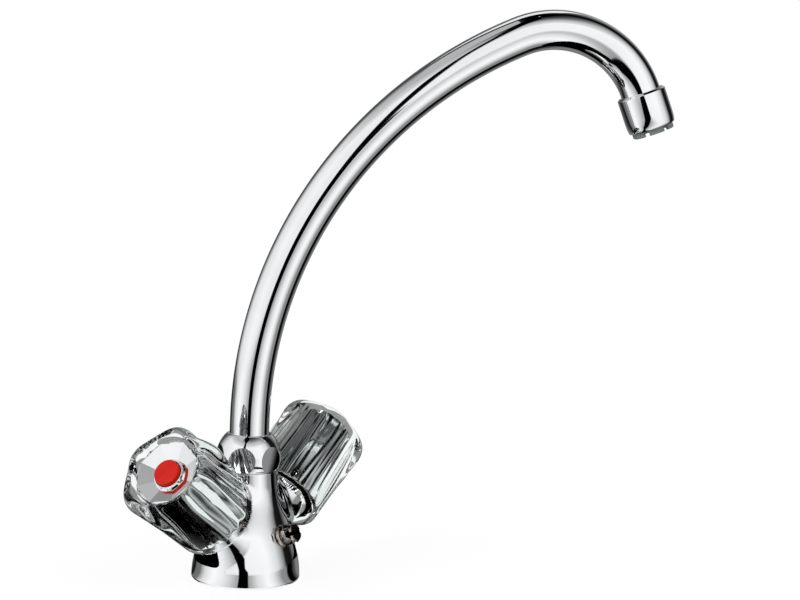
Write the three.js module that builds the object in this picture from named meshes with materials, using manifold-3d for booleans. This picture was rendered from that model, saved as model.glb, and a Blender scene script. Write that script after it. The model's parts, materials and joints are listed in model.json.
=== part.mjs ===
/**
 * Two handle kitchen faucet: a one-hole mixer with a swan neck spout.
 *
 * Millimetres, +Z up. The origin is the centre of the base, on the face that sits on the deck.
 * The front of the tap is -Y, so hot water is on the -X side and cold water on the +X side.
 * Every arm, with its valve and its handle, is modelled along a local +Z that points out of the arm.
 * A station is a distance along that axis from the point where it meets the axis of the column.
 */
import * as THREE from 'three';
import { mergeVertices, toCreasedNormals } from 'three/addons/utils/BufferGeometryUtils.js';
import Module from 'manifold-3d';

const wasm = await Module();
wasm.setup();

// ---------------------------------------------------------------- driving dimensions

// Clearances.
const REST_GAP = 0.3;             // between faces that rest on each other across two pieces
const TURN_CLEARANCE = 0.3;       // radial play of a shaft that turns in its hole
const SEAL_PLAY = 0.1;            // by which an O-ring's cord is thinner than its groove is deep
const OVERRUN = 1;                // by which a cutter runs past the face that it opens
const FACING_MARGIN = 4;          // of the facing cut round the end of an arm

// Column and base.
const BASE_RADIUS = 25;
const BASE_BAND_HEIGHT = 7;       // straight side of the base, before the column draws in
const BASE_CHAMFER = 0.9;
const COLUMN_RADIUS = 13.5;       // under the spout nut
const COLUMN_HEIGHT = 50.4;
const WAIST_POWER = 0.75;         // below 1 draws the waist in low down
const BLEND_RADIUS = 9;           // soft join of the column and the two arms
const COLLAR_WALL = 1.5;          // threaded collar that carries the spout nut
const COLLAR_HEIGHT = 7;

// Arms.
const ARM_TILT = 35;              // degrees above the horizontal
const ARM_ORIGIN_HEIGHT = 15.5;   // where the arm axes cross the column axis
const ARM_END_STATION = 33;
const ARM_NECK_STATION = 21;
const ARM_NECK_WALL = 1.8;        // round the valve bore, where the arm is slimmest
const ARM_FACE_WIDTH = 4.1;       // ring face under the head gasket
const ARM_ROOT_SWELL = 2.3;       // by which the arm widens towards the column
const SKIN_MIDDLE_HEIGHT = 24;    // the whole skin can be seen from here

// Waterways in the body.
const INLET_SPREAD = 18;          // between the two M10 x 1 inlet holes
const INLET_SETBACK = 4;
const INLET_THREAD_RADIUS = 4.6;
const INLET_THREAD_DEPTH = 12;
const INLET_BORE_STEP = 0.4;      // by which the inlet narrows past its thread
const STUD_HOLE_RADIUS = 3.4;     // tapping hole of the M8 fixing stud
const STUD_HOLE_DEPTH = 14;
const STUD_SETBACK = 12;
const VALVE_BORE_RADIUS = 9.9;
const VALVE_BORE_DEPTH = 15;      // from the face of the arm to the raised seat
const SEAT_BORE_RADIUS = 5;
const SEAT_BORE_DEPTH = 12;       // below the seat
const SEAT_LIP_WIDTH = 1.2;
const SEAT_LIP_HEIGHT = 0.8;
const OUTLET_PORT_RADIUS = 3;
const SPOUT_SOCKET_RADIUS = 10;
const SPOUT_SOCKET_DEPTH = 8.9;   // below the top of the column
const MIXING_BORE_RADIUS = 7;
const MIXING_BORE_DEPTH = 5.5;    // below the spout socket

// Gasket under the base.
const BASE_GASKET_INSET = 3;      // from the edge of the base to the middle of the gasket
const BASE_GASKET_WIDTH = 2.6;
const BASE_GASKET_THICKNESS = 1.5;

// Spherical hexagon nut.
const NUT_WALL = 3;               // of the ball at its widest, round the collar
const NUT_FLAT_WALL = 1.7;        // behind each of the six flats
const NUT_RIM_WIDTH = 1.1;        // flat ring at the top, round the tube
const NUT_FOOT_CHAMFER = 0.9;
const NUT_TURN = 23;              // degrees, where the nut came to rest

// Spout tube, spigot and rings.
const SPOUT_TURN = 35;            // degrees from straight ahead towards cold, as photographed
const TUBE_RADIUS = 9;
const TUBE_WALL = 1.1;
const SPOUT_STRAIGHT_LENGTH = 11.7;
const SPOUT_RISE_RADIUS = 196;
const SPOUT_RISE_ANGLE = 66;
const SPOUT_CROWN_RADIUS = 41.8;
const OUTLET_TILT = 21.2;         // degrees between the outlet axis and the vertical
const SPIGOT_END_GAP = 1.6;       // above the floor of the socket
const SPIGOT_WALL = 1.4;          // of its nipple, inside the tube
const SPIGOT_FLANGE_STEP = 1.4;
const SPIGOT_FLANGE_THICKNESS = 1.8;
const SPIGOT_NIPPLE_LENGTH = 5.6;
const SPOUT_RING_SECTION = 1.4;   // cord diameter of the two O-rings on the spigot
const SPOUT_RING_SPACING = 5;
const SLIP_RING_THICKNESS = 1.8;

// Aerator.
const AERATOR_OVERLAP = 8;        // how far the tube goes into the sleeve
const AERATOR_SKIRT_LENGTH = 7.2; // of the sleeve below the top of the insert
const AERATOR_WALL = 1.85;
const AERATOR_RIM_WALL = 0.9;     // at the stepped collar round the tube
const AERATOR_CHAMFER = 0.9;
const AERATOR_TAPER_LENGTH = 5.4;
const AERATOR_STEP = 0.5;         // ledge inside the sleeve above the insert
const AERATOR_FOOT_WALL = 0.6;
const INSERT_WALL = 1.7;
const INSERT_TEETH = 6;
const INSERT_TOOTH_GAP = 15;      // degrees
const INSERT_TOOTH_LENGTH = 2.5;
const INSERT_FOOT_CHAMFER = 0.8;
const INSERT_PLATE_THICKNESS = 1.4;
const INSERT_HOLE_RADIUS = 1.4;
const INSERT_HOLE_PITCH = 4;
const SCREEN_THICKNESS = 0.6;
const SCREEN_HOLE_RADIUS = 1;
const SCREEN_HOLE_PITCH = 3.6;
const HOLE_MARGIN = 0.6;          // left outside the outermost holes
const WASHER_THICKNESS = 1;
const WASHER_LIP = 1;             // of the washer inside the bore of the tube

// Chain stay.
const STAY_TILT = 22;             // degrees above the horizontal, square to the waist
const STAY_ORIGIN_HEIGHT = 14;
const STAY_SEAT_DEPTH = 0.5;      // of the spot face below the skin of the waist
const STAY_DISC_RADIUS = 5.2;
const STAY_DISC_THICKNESS = 1.2;
const STAY_ACROSS_FLATS = 8;
const STAY_LENGTH = 6.2;
const STAY_BEVEL_HEIGHT = 1.4;
const STAY_BEVEL_WIDTH = 1;
const STAY_SHANK_RADIUS = 2.2;
const STAY_SHANK_LENGTH = 7;
const STAY_SLOT_WIDTH = 1.8;
const STAY_SLOT_DEPTH = 3.4;
const STAY_EYE_RADIUS = 1.1;

// Valve headwork, seated on the face of the arm.
const GASKET_THICKNESS = 0.9;
const GASKET_INSET = 1.6;         // from the outer edge of the arm's face
const BONNET_THREAD_LENGTH = 9;
const BONNET_ACROSS_FLATS = 21;
const BONNET_HEX_HEIGHT = 5;
const BONNET_SKIRT_WALL = 1.4;    // round the counterbore that takes the open plug's flange
const BONNET_NECK_WALL = 0.93;    // at the corners of the hexagon bore
const BONNET_GLAND_LENGTH = 5;    // of the stem's bore above the spindle's collar
const PLUG_LIFT = 5;              // travel from shut to fully open
const PLUG_CLEARANCE = 0.8;       // left above the fully open plug
const PLUG_FLANGE_THICKNESS = 2.4;
const PLUG_CUP_WALL = 0.6;
const PLUG_CUP_DEPTH = 2;
const PLUG_ACROSS_FLATS = 12;
const PLUG_BARREL_LENGTH = 13.7;
const PLUG_FLOOR = 2;             // under the threaded bore
const SEAT_WASHER_THICKNESS = 3;
const WASHER_SCREW_HEAD_RADIUS = 3.4;
const WASHER_SCREW_HEAD_HEIGHT = 1.8;
const WASHER_SCREW_RADIUS = 1.5;
const WASHER_SCREW_SLOT_WIDTH = 0.9;
const WASHER_SCREW_SLOT_DEPTH = 0.8;
const SPINDLE_TIP_CLEARANCE = 1;  // left below the spindle when the plug is open
const SPINDLE_THREAD_RADIUS = 3.5;
const SPINDLE_COLLAR_RADIUS = 5.6;
const SPINDLE_COLLAR_HEIGHT = 2.2;
const SPINDLE_STEM_RADIUS = 4.7;
const SPINDLE_RING_SECTION = 1.2;
const SPINDLE_SPLINE_RADIUS = 4.1;
const SPINDLE_SPLINE_DEPTH = 0.5;
const SPINDLE_SPLINE_LENGTH = 9.6;
const SPINDLE_SPLINE_TEETH = 10;
const SPINDLE_TAP_SPARE = 1.8;    // of the tapped hole past the handle screw
const CIRCLIP_THICKNESS = 0.8;
const CIRCLIP_RADIUS = 5.8;
const CIRCLIP_GAP = 60;           // degrees

// Chromed handle core with its faceted dish, seated on the spindle.
const CORE_BOSS_RADIUS = 7.4;
const CORE_BOSS_CLEARANCE = 0.9;  // above the circlip
const CORE_FLOOR_THICKNESS = 4.2; // between the end of the spindle and the screw's seat
const CORE_REAR_SETBACK = 2;      // inside the rear of the crystal
const CORE_REAR_RADIUS = 17;
const CORE_FRONT_RADIUS = 15.6;
const CORE_WALL = 1.5;
const DISH_FACETS = 8;
const DISH_RIM_WIDTH = 0.6;
const DISH_DEPTH = 4;
const DISH_THICKNESS = 2.2;
const BUTTON_WELL_DEPTH = 6.9;
const BUTTON_WELL_WALL = 0.8;
const BUTTON_WELL_SETBACK = 1.4;  // of its rim behind the front of the core
const HANDLE_SCREW_RADIUS = 1.7;
const HANDLE_SCREW_LENGTH = 10.5;
const HANDLE_SCREW_HEAD_RADIUS = 4;
const HANDLE_SCREW_HEAD_HEIGHT = 2.4;
const HANDLE_SCREW_HEAD_CHAMFER = 0.8;
const HANDLE_SCREW_RECESS_SPAN = 5.2;
const HANDLE_SCREW_RECESS_WIDTH = 0.9;
const HANDLE_SCREW_RECESS_DEPTH = 1.2;

// Crystal handle round the core.
const HANDLE_SKIRT_OVERLAP = 1.5; // over the end of the arm
const HANDLE_MOUTH_STEP = 0.8;    // by which the mouth is wider than the core
const HANDLE_REAR_WALL = 1.9;
const HANDLE_CREST_RADIUS = 23.8;
const HANDLE_DOME_LENGTH = 10.5;
const HANDLE_FRONT_WALL = 1.8;    // round the front of the core
const HANDLE_FRONT_LIP = 2.7;     // in front of the core
const HANDLE_BORE_LIP = 0.5;
const HANDLE_LOBES = 6;
const HANDLE_LOBE_DEPTH = 0.115;  // valley depth over crest radius
const HOT_HANDLE_TURN = 13;       // degrees, where each handle stands when shut
const COLD_HANDLE_TURN = 41.5;

// Index button in the well of the core.
const BUTTON_RADIUS = 6.4;
const BUTTON_CLEARANCE = 0.4;     // round it in its well
const BUTTON_PROUD = 1.8;         // above the rim of the well
const BUTTON_CROWN = 0.5;
const BUTTON_WALL = 1;
const BUTTON_CAP_THICKNESS = 1.5;
const BUTTON_FOOT_GAP = 0.5;      // above the head of the handle screw

// Facets per turn, and steps along.
const FINE = 28;
const MEDIUM = 16;
const HIDDEN = 12;                // for the pieces inside
const COARSE = 10;
const SKIN_TURN_STEPS = 42;
const SKIN_RISE_STEPS = 20;
const SKIN_LOWEST_RAY = -50;      // degrees; the rays that meet the sides of the casting
const SKIN_HIGHEST_RAY = 69;
const SKIN_CROWDING = 0.2;        // draws the columns of the skin towards the two arms
const CORE_SIDES = 16;            // a whole number to each facet of the dish
const NUT_ARC_STEPS = 6;
const TUBE_SIDES = 16;
const TUBE_RISE_STEPS = 13;
const TUBE_CROWN_STEPS = 10;
const TAPER_STEPS = 3;
const LOBE_STEPS = 42;
const SKIRT_STEPS = 2;
const DOME_STEPS = 3;
const RING_SECTION_STEPS = 6;
const SKIN_HALVINGS = 40;         // of the stretch in which a ray meets the skin

// ---------------------------------------------------------------- heights and stations that follow

const armNeckRadius = VALVE_BORE_RADIUS + ARM_NECK_WALL;
const armBellRadius = VALVE_BORE_RADIUS + ARM_FACE_WIDTH;
const armRootRadius = armNeckRadius + ARM_ROOT_SWELL;
const seatStation = ARM_END_STATION - VALVE_BORE_DEPTH;
const socketFloor = COLUMN_HEIGHT - SPOUT_SOCKET_DEPTH;
const mixingBoreFloor = socketFloor - MIXING_BORE_DEPTH;
const collarRadius = SPOUT_SOCKET_RADIUS + COLLAR_WALL;
const collarTop = COLUMN_HEIGHT + COLLAR_HEIGHT;
const baseGasketRadius = BASE_RADIUS - BASE_GASKET_INSET;

// ---------------------------------------------------------------- materials

const finish = (color, roughness, metalness) =>
  new THREE.MeshStandardMaterial({ color, roughness, metalness });

const MATERIAL = {
  chrome: () => finish(0xdfe3e6, 0.06, 1),
  brass: () => finish(0xc9a24a, 0.3, 1),
  darkNickel: () => finish(0x4a3a2e, 0.25, 1),
  steel: () => finish(0xb9bcc0, 0.3, 1),
  crystal: () => {
    const clear = finish(0xe6eeec, 0.04, 0);
    clear.transparent = true;
    clear.opacity = 0.35;
    return clear;
  },
  hotRed: () => finish(0xcd2a1c, 0.3, 0),
  coldBlue: () => finish(0x1f4f9e, 0.3, 0),
  greyPlastic: () => finish(0x5c6663, 0.5, 0),
  whitePlastic: () => finish(0xe8e8e2, 0.45, 0),
  rubber: () => finish(0x1b1b1c, 0.8, 0),
};

// ---------------------------------------------------------------- geometry helpers

const rad = THREE.MathUtils.degToRad;

/** Signed volume of a triangle mesh, positive when its faces point out. */
function signedVolume(vertices, triangles) {
  const [a, b, c] = [new THREE.Vector3(), new THREE.Vector3(), new THREE.Vector3()];
  let volume = 0;
  for (let i = 0; i < triangles.length; i += 3) {
    a.fromArray(vertices, triangles[i] * 3);
    b.fromArray(vertices, triangles[i + 1] * 3);
    c.fromArray(vertices, triangles[i + 2] * 3);
    volume += a.dot(b.cross(c)) / 6;
  }
  return volume;
}

/** A closed solid for joining and cutting, from a geometry whose surface is closed. */
function toSolid(geometry) {
  const bare = geometry.clone();
  bare.deleteAttribute('normal');
  bare.deleteAttribute('uv');
  const merged = mergeVertices(bare, 1e-4);
  const vertices = merged.attributes.position.array;
  const index = merged.index.array;
  const triangles = [];
  for (let i = 0; i < index.length; i += 3) {
    const [a, b, c] = [index[i], index[i + 1], index[i + 2]];
    if (a !== b && b !== c && c !== a) triangles.push(a, b, c);
  }
  if (signedVolume(vertices, triangles) < 0) triangles.reverse();
  return new wasm.Manifold(new wasm.Mesh({
    numProp: 3,
    vertProperties: Float32Array.from(vertices),
    triVerts: Uint32Array.from(triangles),
  }));
}

/** A geometry with sharp creases from a solid. */
function toGeometry(solid) {
  const mesh = solid.getMesh();
  const geometry = new THREE.BufferGeometry();
  geometry.setAttribute('position', new THREE.Float32BufferAttribute(mesh.vertProperties, 3));
  geometry.setIndex(Array.from(mesh.triVerts));
  return toCreasedNormals(geometry, rad(30));
}

/** Joins the first solid with the others. */
const join = (first, ...others) => others.reduce((sum, other) => sum.add(other), first);

/** Cuts the others away from the first solid. */
const cut = (first, ...others) => others.reduce((rest, other) => rest.subtract(other), first);

/** A body of revolution about Z; points are [radius, height] and run round a closed outline. */
function revolve(outline, sides = MEDIUM) {
  const points = outline.map(([radius, height]) => new THREE.Vector2(radius, height));
  points.push(points[0].clone());
  return new THREE.LatheGeometry(points, sides).rotateX(Math.PI / 2);
}

/** A ring of rectangular section. */
const ring = (inner, outer, low, high, sides = MEDIUM) =>
  revolve([[inner, low], [outer, low], [outer, high], [inner, high]], sides);

/** A round bar along Z. */
const bar = (radius, low, high, sides = MEDIUM) =>
  new THREE.CylinderGeometry(radius, radius, high - low, sides)
    .rotateX(Math.PI / 2)
    .translate(0, 0, (low + high) / 2);

/** A hexagon bar along Z, given by its width across flats. */
const hexBar = (acrossFlats, low, high) => bar(acrossFlats / Math.sqrt(3), low, high, 6);

/** An O-ring lying flat, centred at a height. */
const oRing = (inner, section, height) =>
  new THREE.TorusGeometry(inner + section / 2, section / 2, RING_SECTION_STEPS, HIDDEN)
    .translate(0, 0, height);

/** A copy of a geometry, moved by a matrix. */
const moved = (geometry, matrix) => geometry.clone().applyMatrix4(matrix);

/** Points of a round stretch of an outline, from one angle to another in degrees. */
function arcPoints(centreRadius, centreHeight, radius, from, to, steps) {
  return Array.from({ length: steps + 1 }, (_, i) => {
    const angle = rad(from + (to - from) * i / steps);
    return [centreRadius + radius * Math.cos(angle), centreHeight + radius * Math.sin(angle)];
  });
}

// ---------------------------------------------------------------- frames

/** The frame of an arm: side is -1 for hot and +1 for cold. */
function armMatrix(side) {
  return new THREE.Matrix4()
    .makeRotationY(side * rad(90 - ARM_TILT))
    .setPosition(0, 0, ARM_ORIGIN_HEIGHT);
}

/** The frame of the chain stay, whose +Z leaves the front of the waist. */
function stayMatrix() {
  return new THREE.Matrix4()
    .makeRotationX(rad(90 - STAY_TILT))
    .setPosition(0, 0, STAY_ORIGIN_HEIGHT);
}

// ---------------------------------------------------------------- body casting

/** Radius of the column at a height, without the arms. */
function columnRadius(height) {
  const span = COLUMN_HEIGHT - BASE_BAND_HEIGHT;
  const share = THREE.MathUtils.clamp((height - BASE_BAND_HEIGHT) / span, 0, 1);
  const drawn = (1 + Math.cos(Math.PI * share ** WAIST_POWER)) / 2;
  return COLUMN_RADIUS + (BASE_RADIUS - COLUMN_RADIUS) * drawn;
}

/** Radius of an arm at a station: a trumpet that opens both ways from its neck. */
function armRadius(station) {
  if (station > ARM_NECK_STATION) {
    const share = (station - ARM_NECK_STATION) / (ARM_END_STATION - ARM_NECK_STATION);
    return armNeckRadius + (armBellRadius - armNeckRadius) * share ** 2;
  }
  const share = 1 - Math.max(station, 0) / ARM_NECK_STATION;
  return armNeckRadius + (armRootRadius - armNeckRadius) * share ** 2;
}

/** The lesser of two distances, rounded off where they are nearly equal. */
function softMin(a, b, radius) {
  const overlap = Math.max(radius - Math.abs(a - b), 0) / radius;
  return Math.min(a, b) - overlap * overlap * radius / 4;
}

/** Distance from the skin of the casting, negative inside it, before its ends are faced off. */
function castingDistance(point) {
  const spare = 3;                // the ends are left long and then faced off
  let distance = Math.hypot(point.x, point.y) - columnRadius(point.z);
  let pastEnd = Math.max(point.z - COLUMN_HEIGHT, -point.z) - spare;
  for (const side of [-1, 1]) {
    const local = point.clone().applyMatrix4(armMatrix(side).invert());
    const reach = Math.max(local.z, 0);
    const off = Math.hypot(local.x, local.y, local.z - reach);
    distance = softMin(distance, off - armRadius(reach), BLEND_RADIUS);
    pastEnd = Math.max(pastEnd, local.z - ARM_END_STATION - spare);
  }
  return Math.max(distance, pastEnd);
}

/** How far the skin lies from a point inside the casting, along a ray of unit length. */
function skinReach(from, ray) {
  const point = new THREE.Vector3();
  let inside = 0;
  let outside = 3 * COLUMN_HEIGHT;
  for (let step = 0; step < SKIN_HALVINGS; step += 1) {
    const reach = (inside + outside) / 2;
    point.copy(from).addScaledVector(ray, reach);
    if (castingDistance(point) < 0) inside = reach;
    else outside = reach;
  }
  return inside;
}

/** The skin as one blended surface: every ray from the middle meets it once. */
function castingSkin() {
  const middle = new THREE.Vector3(0, 0, SKIN_MIDDLE_HEIGHT);
  const side = arcPoints(0, 0, 1, SKIN_LOWEST_RAY, SKIN_HIGHEST_RAY, SKIN_RISE_STEPS);
  const skin = revolve([[0, -1], ...side, [0, 1]], SKIN_TURN_STEPS);
  const position = skin.attributes.position;
  const ray = new THREE.Vector3();
  for (let i = 0; i < position.count; i += 1) {
    ray.fromBufferAttribute(position, i);
    const azimuth = Math.atan2(ray.y, ray.x);
    const spread = Math.hypot(ray.x, ray.y);
    const turned = azimuth - SKIN_CROWDING * Math.sin(2 * azimuth);
    ray.set(spread * Math.cos(turned), spread * Math.sin(turned), ray.z);
    const point = middle.clone().addScaledVector(ray, skinReach(middle, ray));
    position.setXYZ(i, point.x, point.y, point.z);
  }
  return skin;
}

const stayAxis = new THREE.Vector3(0, 0, 1).transformDirection(stayMatrix());
const staySeat = skinReach(new THREE.Vector3(0, 0, STAY_ORIGIN_HEIGHT), stayAxis) - STAY_SEAT_DEPTH;

/** Everything that is bored out of one side: valve bore, seat, inlet and port to the spout. */
function sideWaterways(side) {
  const past = ARM_END_STATION + OVERRUN;
  const lip = SEAT_BORE_RADIUS + SEAT_LIP_WIDTH;
  const seatBoreStart = seatStation - SEAT_BORE_DEPTH;
  const valveBore = revolve([
    [0, seatBoreStart],
    [SEAT_BORE_RADIUS, seatBoreStart],
    [SEAT_BORE_RADIUS, seatStation],
    [lip, seatStation],
    [lip, seatStation - SEAT_LIP_HEIGHT],
    [VALVE_BORE_RADIUS, seatStation - SEAT_LIP_HEIGHT],
    [VALVE_BORE_RADIUS, past],
    [0, past],
  ], HIDDEN);
  const facing = bar(armBellRadius + FACING_MARGIN, ARM_END_STATION, 2 * ARM_END_STATION, COARSE);
  const inletTop = ARM_ORIGIN_HEIGHT + SEAT_BORE_RADIUS;
  const inlet = join(
    toSolid(bar(INLET_THREAD_RADIUS, -OVERRUN, INLET_THREAD_DEPTH, COARSE)),
    toSolid(bar(INLET_THREAD_RADIUS - INLET_BORE_STEP, INLET_THREAD_DEPTH - OVERRUN, inletTop, COARSE)),
  );
  const from = new THREE.Vector3(0, 0, seatStation + OUTLET_PORT_RADIUS).applyMatrix4(armMatrix(side));
  const to = new THREE.Vector3(side * OUTLET_PORT_RADIUS, 0, mixingBoreFloor + OUTLET_PORT_RADIUS);
  const aim = new THREE.Quaternion().setFromUnitVectors(
    new THREE.Vector3(0, 0, 1), to.clone().sub(from).normalize());
  const port = bar(OUTLET_PORT_RADIUS, 0, from.distanceTo(to), COARSE)
    .applyQuaternion(aim)
    .translate(from.x, from.y, from.z);
  const inletPlace = new THREE.Matrix4()
    .makeTranslation(side * INLET_SPREAD / 2, INLET_SETBACK, 0);
  return [
    toSolid(moved(valveBore, armMatrix(side))),
    toSolid(moved(facing, armMatrix(side))),
    toSolid(moved(toGeometry(inlet), inletPlace)),
    toSolid(port),
  ];
}

/** The one-piece brass body: base, column and two arms, with its waterways. */
function bodyCasting() {
  const wide = 4 * BASE_RADIUS;
  const envelope = toSolid(revolve([
    [0, 0],
    [BASE_RADIUS - BASE_CHAMFER, 0],
    [BASE_RADIUS + BASE_CHAMFER, 2 * BASE_CHAMFER],
    [wide, 2 * BASE_CHAMFER],
    [wide, COLUMN_HEIGHT],
    [0, COLUMN_HEIGHT],
  ], SKIN_TURN_STEPS));
  const collar = bar(collarRadius, socketFloor, collarTop, FINE);
  const blank = join(toSolid(castingSkin()).intersect(envelope), toSolid(collar));
  const grooveHalf = BASE_GASKET_WIDTH / 2 + REST_GAP;
  const stayHoleFloor = staySeat - STAY_SHANK_LENGTH - OVERRUN;
  const staySpot = join(
    toSolid(bar(STAY_DISC_RADIUS + REST_GAP, staySeat, 2 * staySeat, MEDIUM)),
    toSolid(bar(STAY_SHANK_RADIUS + REST_GAP, stayHoleFloor, staySeat + OVERRUN, COARSE)),
  );
  return cut(
    blank,
    ...sideWaterways(-1),
    ...sideWaterways(1),
    toSolid(bar(SPOUT_SOCKET_RADIUS, socketFloor, collarTop + OVERRUN, FINE)),
    toSolid(bar(MIXING_BORE_RADIUS, mixingBoreFloor, socketFloor + OVERRUN, MEDIUM)),
    toSolid(bar(STUD_HOLE_RADIUS, -OVERRUN, STUD_HOLE_DEPTH, COARSE).translate(0, -STUD_SETBACK, 0)),
    toSolid(ring(baseGasketRadius - grooveHalf, baseGasketRadius + grooveHalf, -OVERRUN,
      BASE_GASKET_THICKNESS + REST_GAP, FINE)),
    toSolid(moved(toGeometry(staySpot), stayMatrix())),
  );
}

/** Flat rubber ring in the groove of the base, flush with the deck. */
const baseGasket = () => ring(baseGasketRadius - BASE_GASKET_WIDTH / 2,
  baseGasketRadius + BASE_GASKET_WIDTH / 2, 0, BASE_GASKET_THICKNESS, FINE);

// ---------------------------------------------------------------- spout joint

const flangeSeat = collarTop + REST_GAP;
const flangeTop = flangeSeat + SPIGOT_FLANGE_THICKNESS;
const tubeStart = flangeTop + REST_GAP;
const tubeBoreRadius = TUBE_RADIUS - TUBE_WALL;
const slipRingTop = tubeStart + SLIP_RING_THICKNESS;
const nutFoot = COLUMN_HEIGHT + REST_GAP;
const nutCavityRadius = collarRadius + REST_GAP;
const nutCavityTop = slipRingTop + REST_GAP;
const nutBoreRadius = TUBE_RADIUS + TURN_CLEARANCE;
const nutBallRadius = nutCavityRadius + NUT_WALL;
const nutBallHeight = (nutFoot + nutCavityTop) / 2;

/** Collar nut turned as a ball, with six flats that come out as circles. */
function spoutNut() {
  const low = nutFoot + NUT_FOOT_CHAMFER - nutBallHeight;
  const high = Math.sqrt(nutBallRadius ** 2 - (nutBoreRadius + NUT_RIM_WIDTH) ** 2);
  const angle = (height) => THREE.MathUtils.radToDeg(Math.asin(height / nutBallRadius));
  const ball = arcPoints(0, nutBallHeight, nutBallRadius, angle(low), angle(high), NUT_ARC_STEPS);
  const blank = toSolid(revolve([
    [nutCavityRadius, nutFoot],
    [ball[0][0] - NUT_FOOT_CHAMFER, nutFoot],
    ...ball,
    [nutBoreRadius, nutBallHeight + high],
    [nutBoreRadius, nutCavityTop],
    [nutCavityRadius, nutCavityTop],
  ], FINE));
  const size = 2 * nutBallRadius;
  const flats = Array.from({ length: 6 }, (_, i) => toSolid(
    new THREE.BoxGeometry(size, size, size)
      .translate(nutCavityRadius + NUT_FLAT_WALL + size / 2, 0, nutBallHeight)
      .rotateZ(rad(60 * i))));
  return cut(blank, ...flats);
}

/** Nylon ring between the spigot's flange and the nut. */
const slipRing = () => ring(nutBoreRadius, nutCavityRadius - REST_GAP, tubeStart, slipRingTop);

const spigotRadius = SPOUT_SOCKET_RADIUS - TURN_CLEARANCE;
const spigotStart = socketFloor + SPIGOT_END_GAP;
const ringGrooveRadius = spigotRadius - SPOUT_RING_SECTION;
const lowerRingHeight = spigotStart + (flangeSeat - spigotStart) / 3;
const ringHeights = [lowerRingHeight, lowerRingHeight + SPOUT_RING_SPACING];

/** Turned spigot on the foot of the tube, with a groove for each O-ring. */
function spoutSpigot() {
  const groove = (SPOUT_RING_SECTION + REST_GAP) / 2;
  const grooves = ringHeights.flatMap((height) => [
    [spigotRadius, height - groove],
    [ringGrooveRadius, height - groove],
    [ringGrooveRadius, height + groove],
    [spigotRadius, height + groove],
  ]);
  const nippleRadius = tubeBoreRadius - REST_GAP;
  const nippleTop = flangeTop + SPIGOT_NIPPLE_LENGTH;
  const boreRadius = nippleRadius - SPIGOT_WALL;
  return revolve([
    [boreRadius, spigotStart],
    [spigotRadius, spigotStart],
    ...grooves,
    [spigotRadius, flangeSeat],
    [spigotRadius + SPIGOT_FLANGE_STEP, flangeSeat],
    [spigotRadius + SPIGOT_FLANGE_STEP, flangeTop],
    [nippleRadius, flangeTop],
    [nippleRadius, nippleTop],
    [boreRadius, nippleTop],
  ], HIDDEN);
}

/** O-ring in a groove of the spigot, at a height. */
const spoutRing = (height) =>
  oRing(ringGrooveRadius + SEAL_PLAY, SPOUT_RING_SECTION - SEAL_PLAY, height);

// ---------------------------------------------------------------- spout tube

const riseAngle = rad(SPOUT_RISE_ANGLE);
const outletHeading = Math.PI - rad(OUTLET_TILT);
const straightTop = tubeStart + SPOUT_STRAIGHT_LENGTH;

/** Centre line in the X-Z plane: straight foot, long rise, tight crown and straight end. */
class SpoutCurve extends THREE.Curve {
  constructor() {
    super();
    const riseCentre = new THREE.Vector3(SPOUT_RISE_RADIUS, 0, straightTop);
    const riseEnd = SpoutCurve.onArc(riseCentre, SPOUT_RISE_RADIUS, riseAngle);
    const crownCentre = riseEnd.clone().add(new THREE.Vector3(
      SPOUT_CROWN_RADIUS * Math.cos(riseAngle), 0, -SPOUT_CROWN_RADIUS * Math.sin(riseAngle)));
    const { lerp } = THREE.MathUtils;
    this.outlet = SpoutCurve.onArc(crownCentre, SPOUT_CROWN_RADIUS, outletHeading);
    this.outletDirection = new THREE.Vector3(Math.sin(outletHeading), 0, Math.cos(outletHeading));
    this.stretches = [
      { steps: 1, at: (share) => new THREE.Vector3(0, 0, lerp(tubeStart, straightTop, share)) },
      {
        steps: TUBE_RISE_STEPS,
        at: (share) => SpoutCurve.onArc(riseCentre, SPOUT_RISE_RADIUS, riseAngle * share),
      },
      {
        steps: TUBE_CROWN_STEPS,
        at: (share) => SpoutCurve.onArc(crownCentre, SPOUT_CROWN_RADIUS,
          lerp(riseAngle, outletHeading, share)),
      },
      {
        steps: 1,
        at: (share) => this.outlet.clone().addScaledVector(this.outletDirection,
          AERATOR_OVERLAP * share),
      },
    ];
    this.steps = this.stretches.reduce((sum, stretch) => sum + stretch.steps, 0);
  }

  /** The point of an arc where the line heads a given angle away from straight up. */
  static onArc(centre, radius, heading) {
    return new THREE.Vector3(
      centre.x - radius * Math.cos(heading), 0, centre.z + radius * Math.sin(heading));
  }

  getPoint(t) {
    let step = t * this.steps;
    const stretch = this.stretches.find((candidate, i) => {
      if (step <= candidate.steps || i === this.stretches.length - 1) return true;
      step -= candidate.steps;
      return false;
    });
    return stretch.at(step / stretch.steps);
  }

  /** Steps follow the stretches, so that the tight crown gets its share. */
  getUtoTmapping(u) {
    return u;
  }
}

const spoutCurve = new SpoutCurve();

/** The bent tube with its bore. */
function spoutTube() {
  const section = new THREE.Shape().absarc(0, 0, TUBE_RADIUS, 0, 2 * Math.PI, false);
  section.holes.push(new THREE.Path().absarc(0, 0, tubeBoreRadius, 0, 2 * Math.PI, true));
  return new THREE.ExtrudeGeometry(section, {
    steps: spoutCurve.steps, curveSegments: TUBE_SIDES / 2, extrudePath: spoutCurve,
  });
}

// ---------------------------------------------------------------- aerator, along its own +Z

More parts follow.
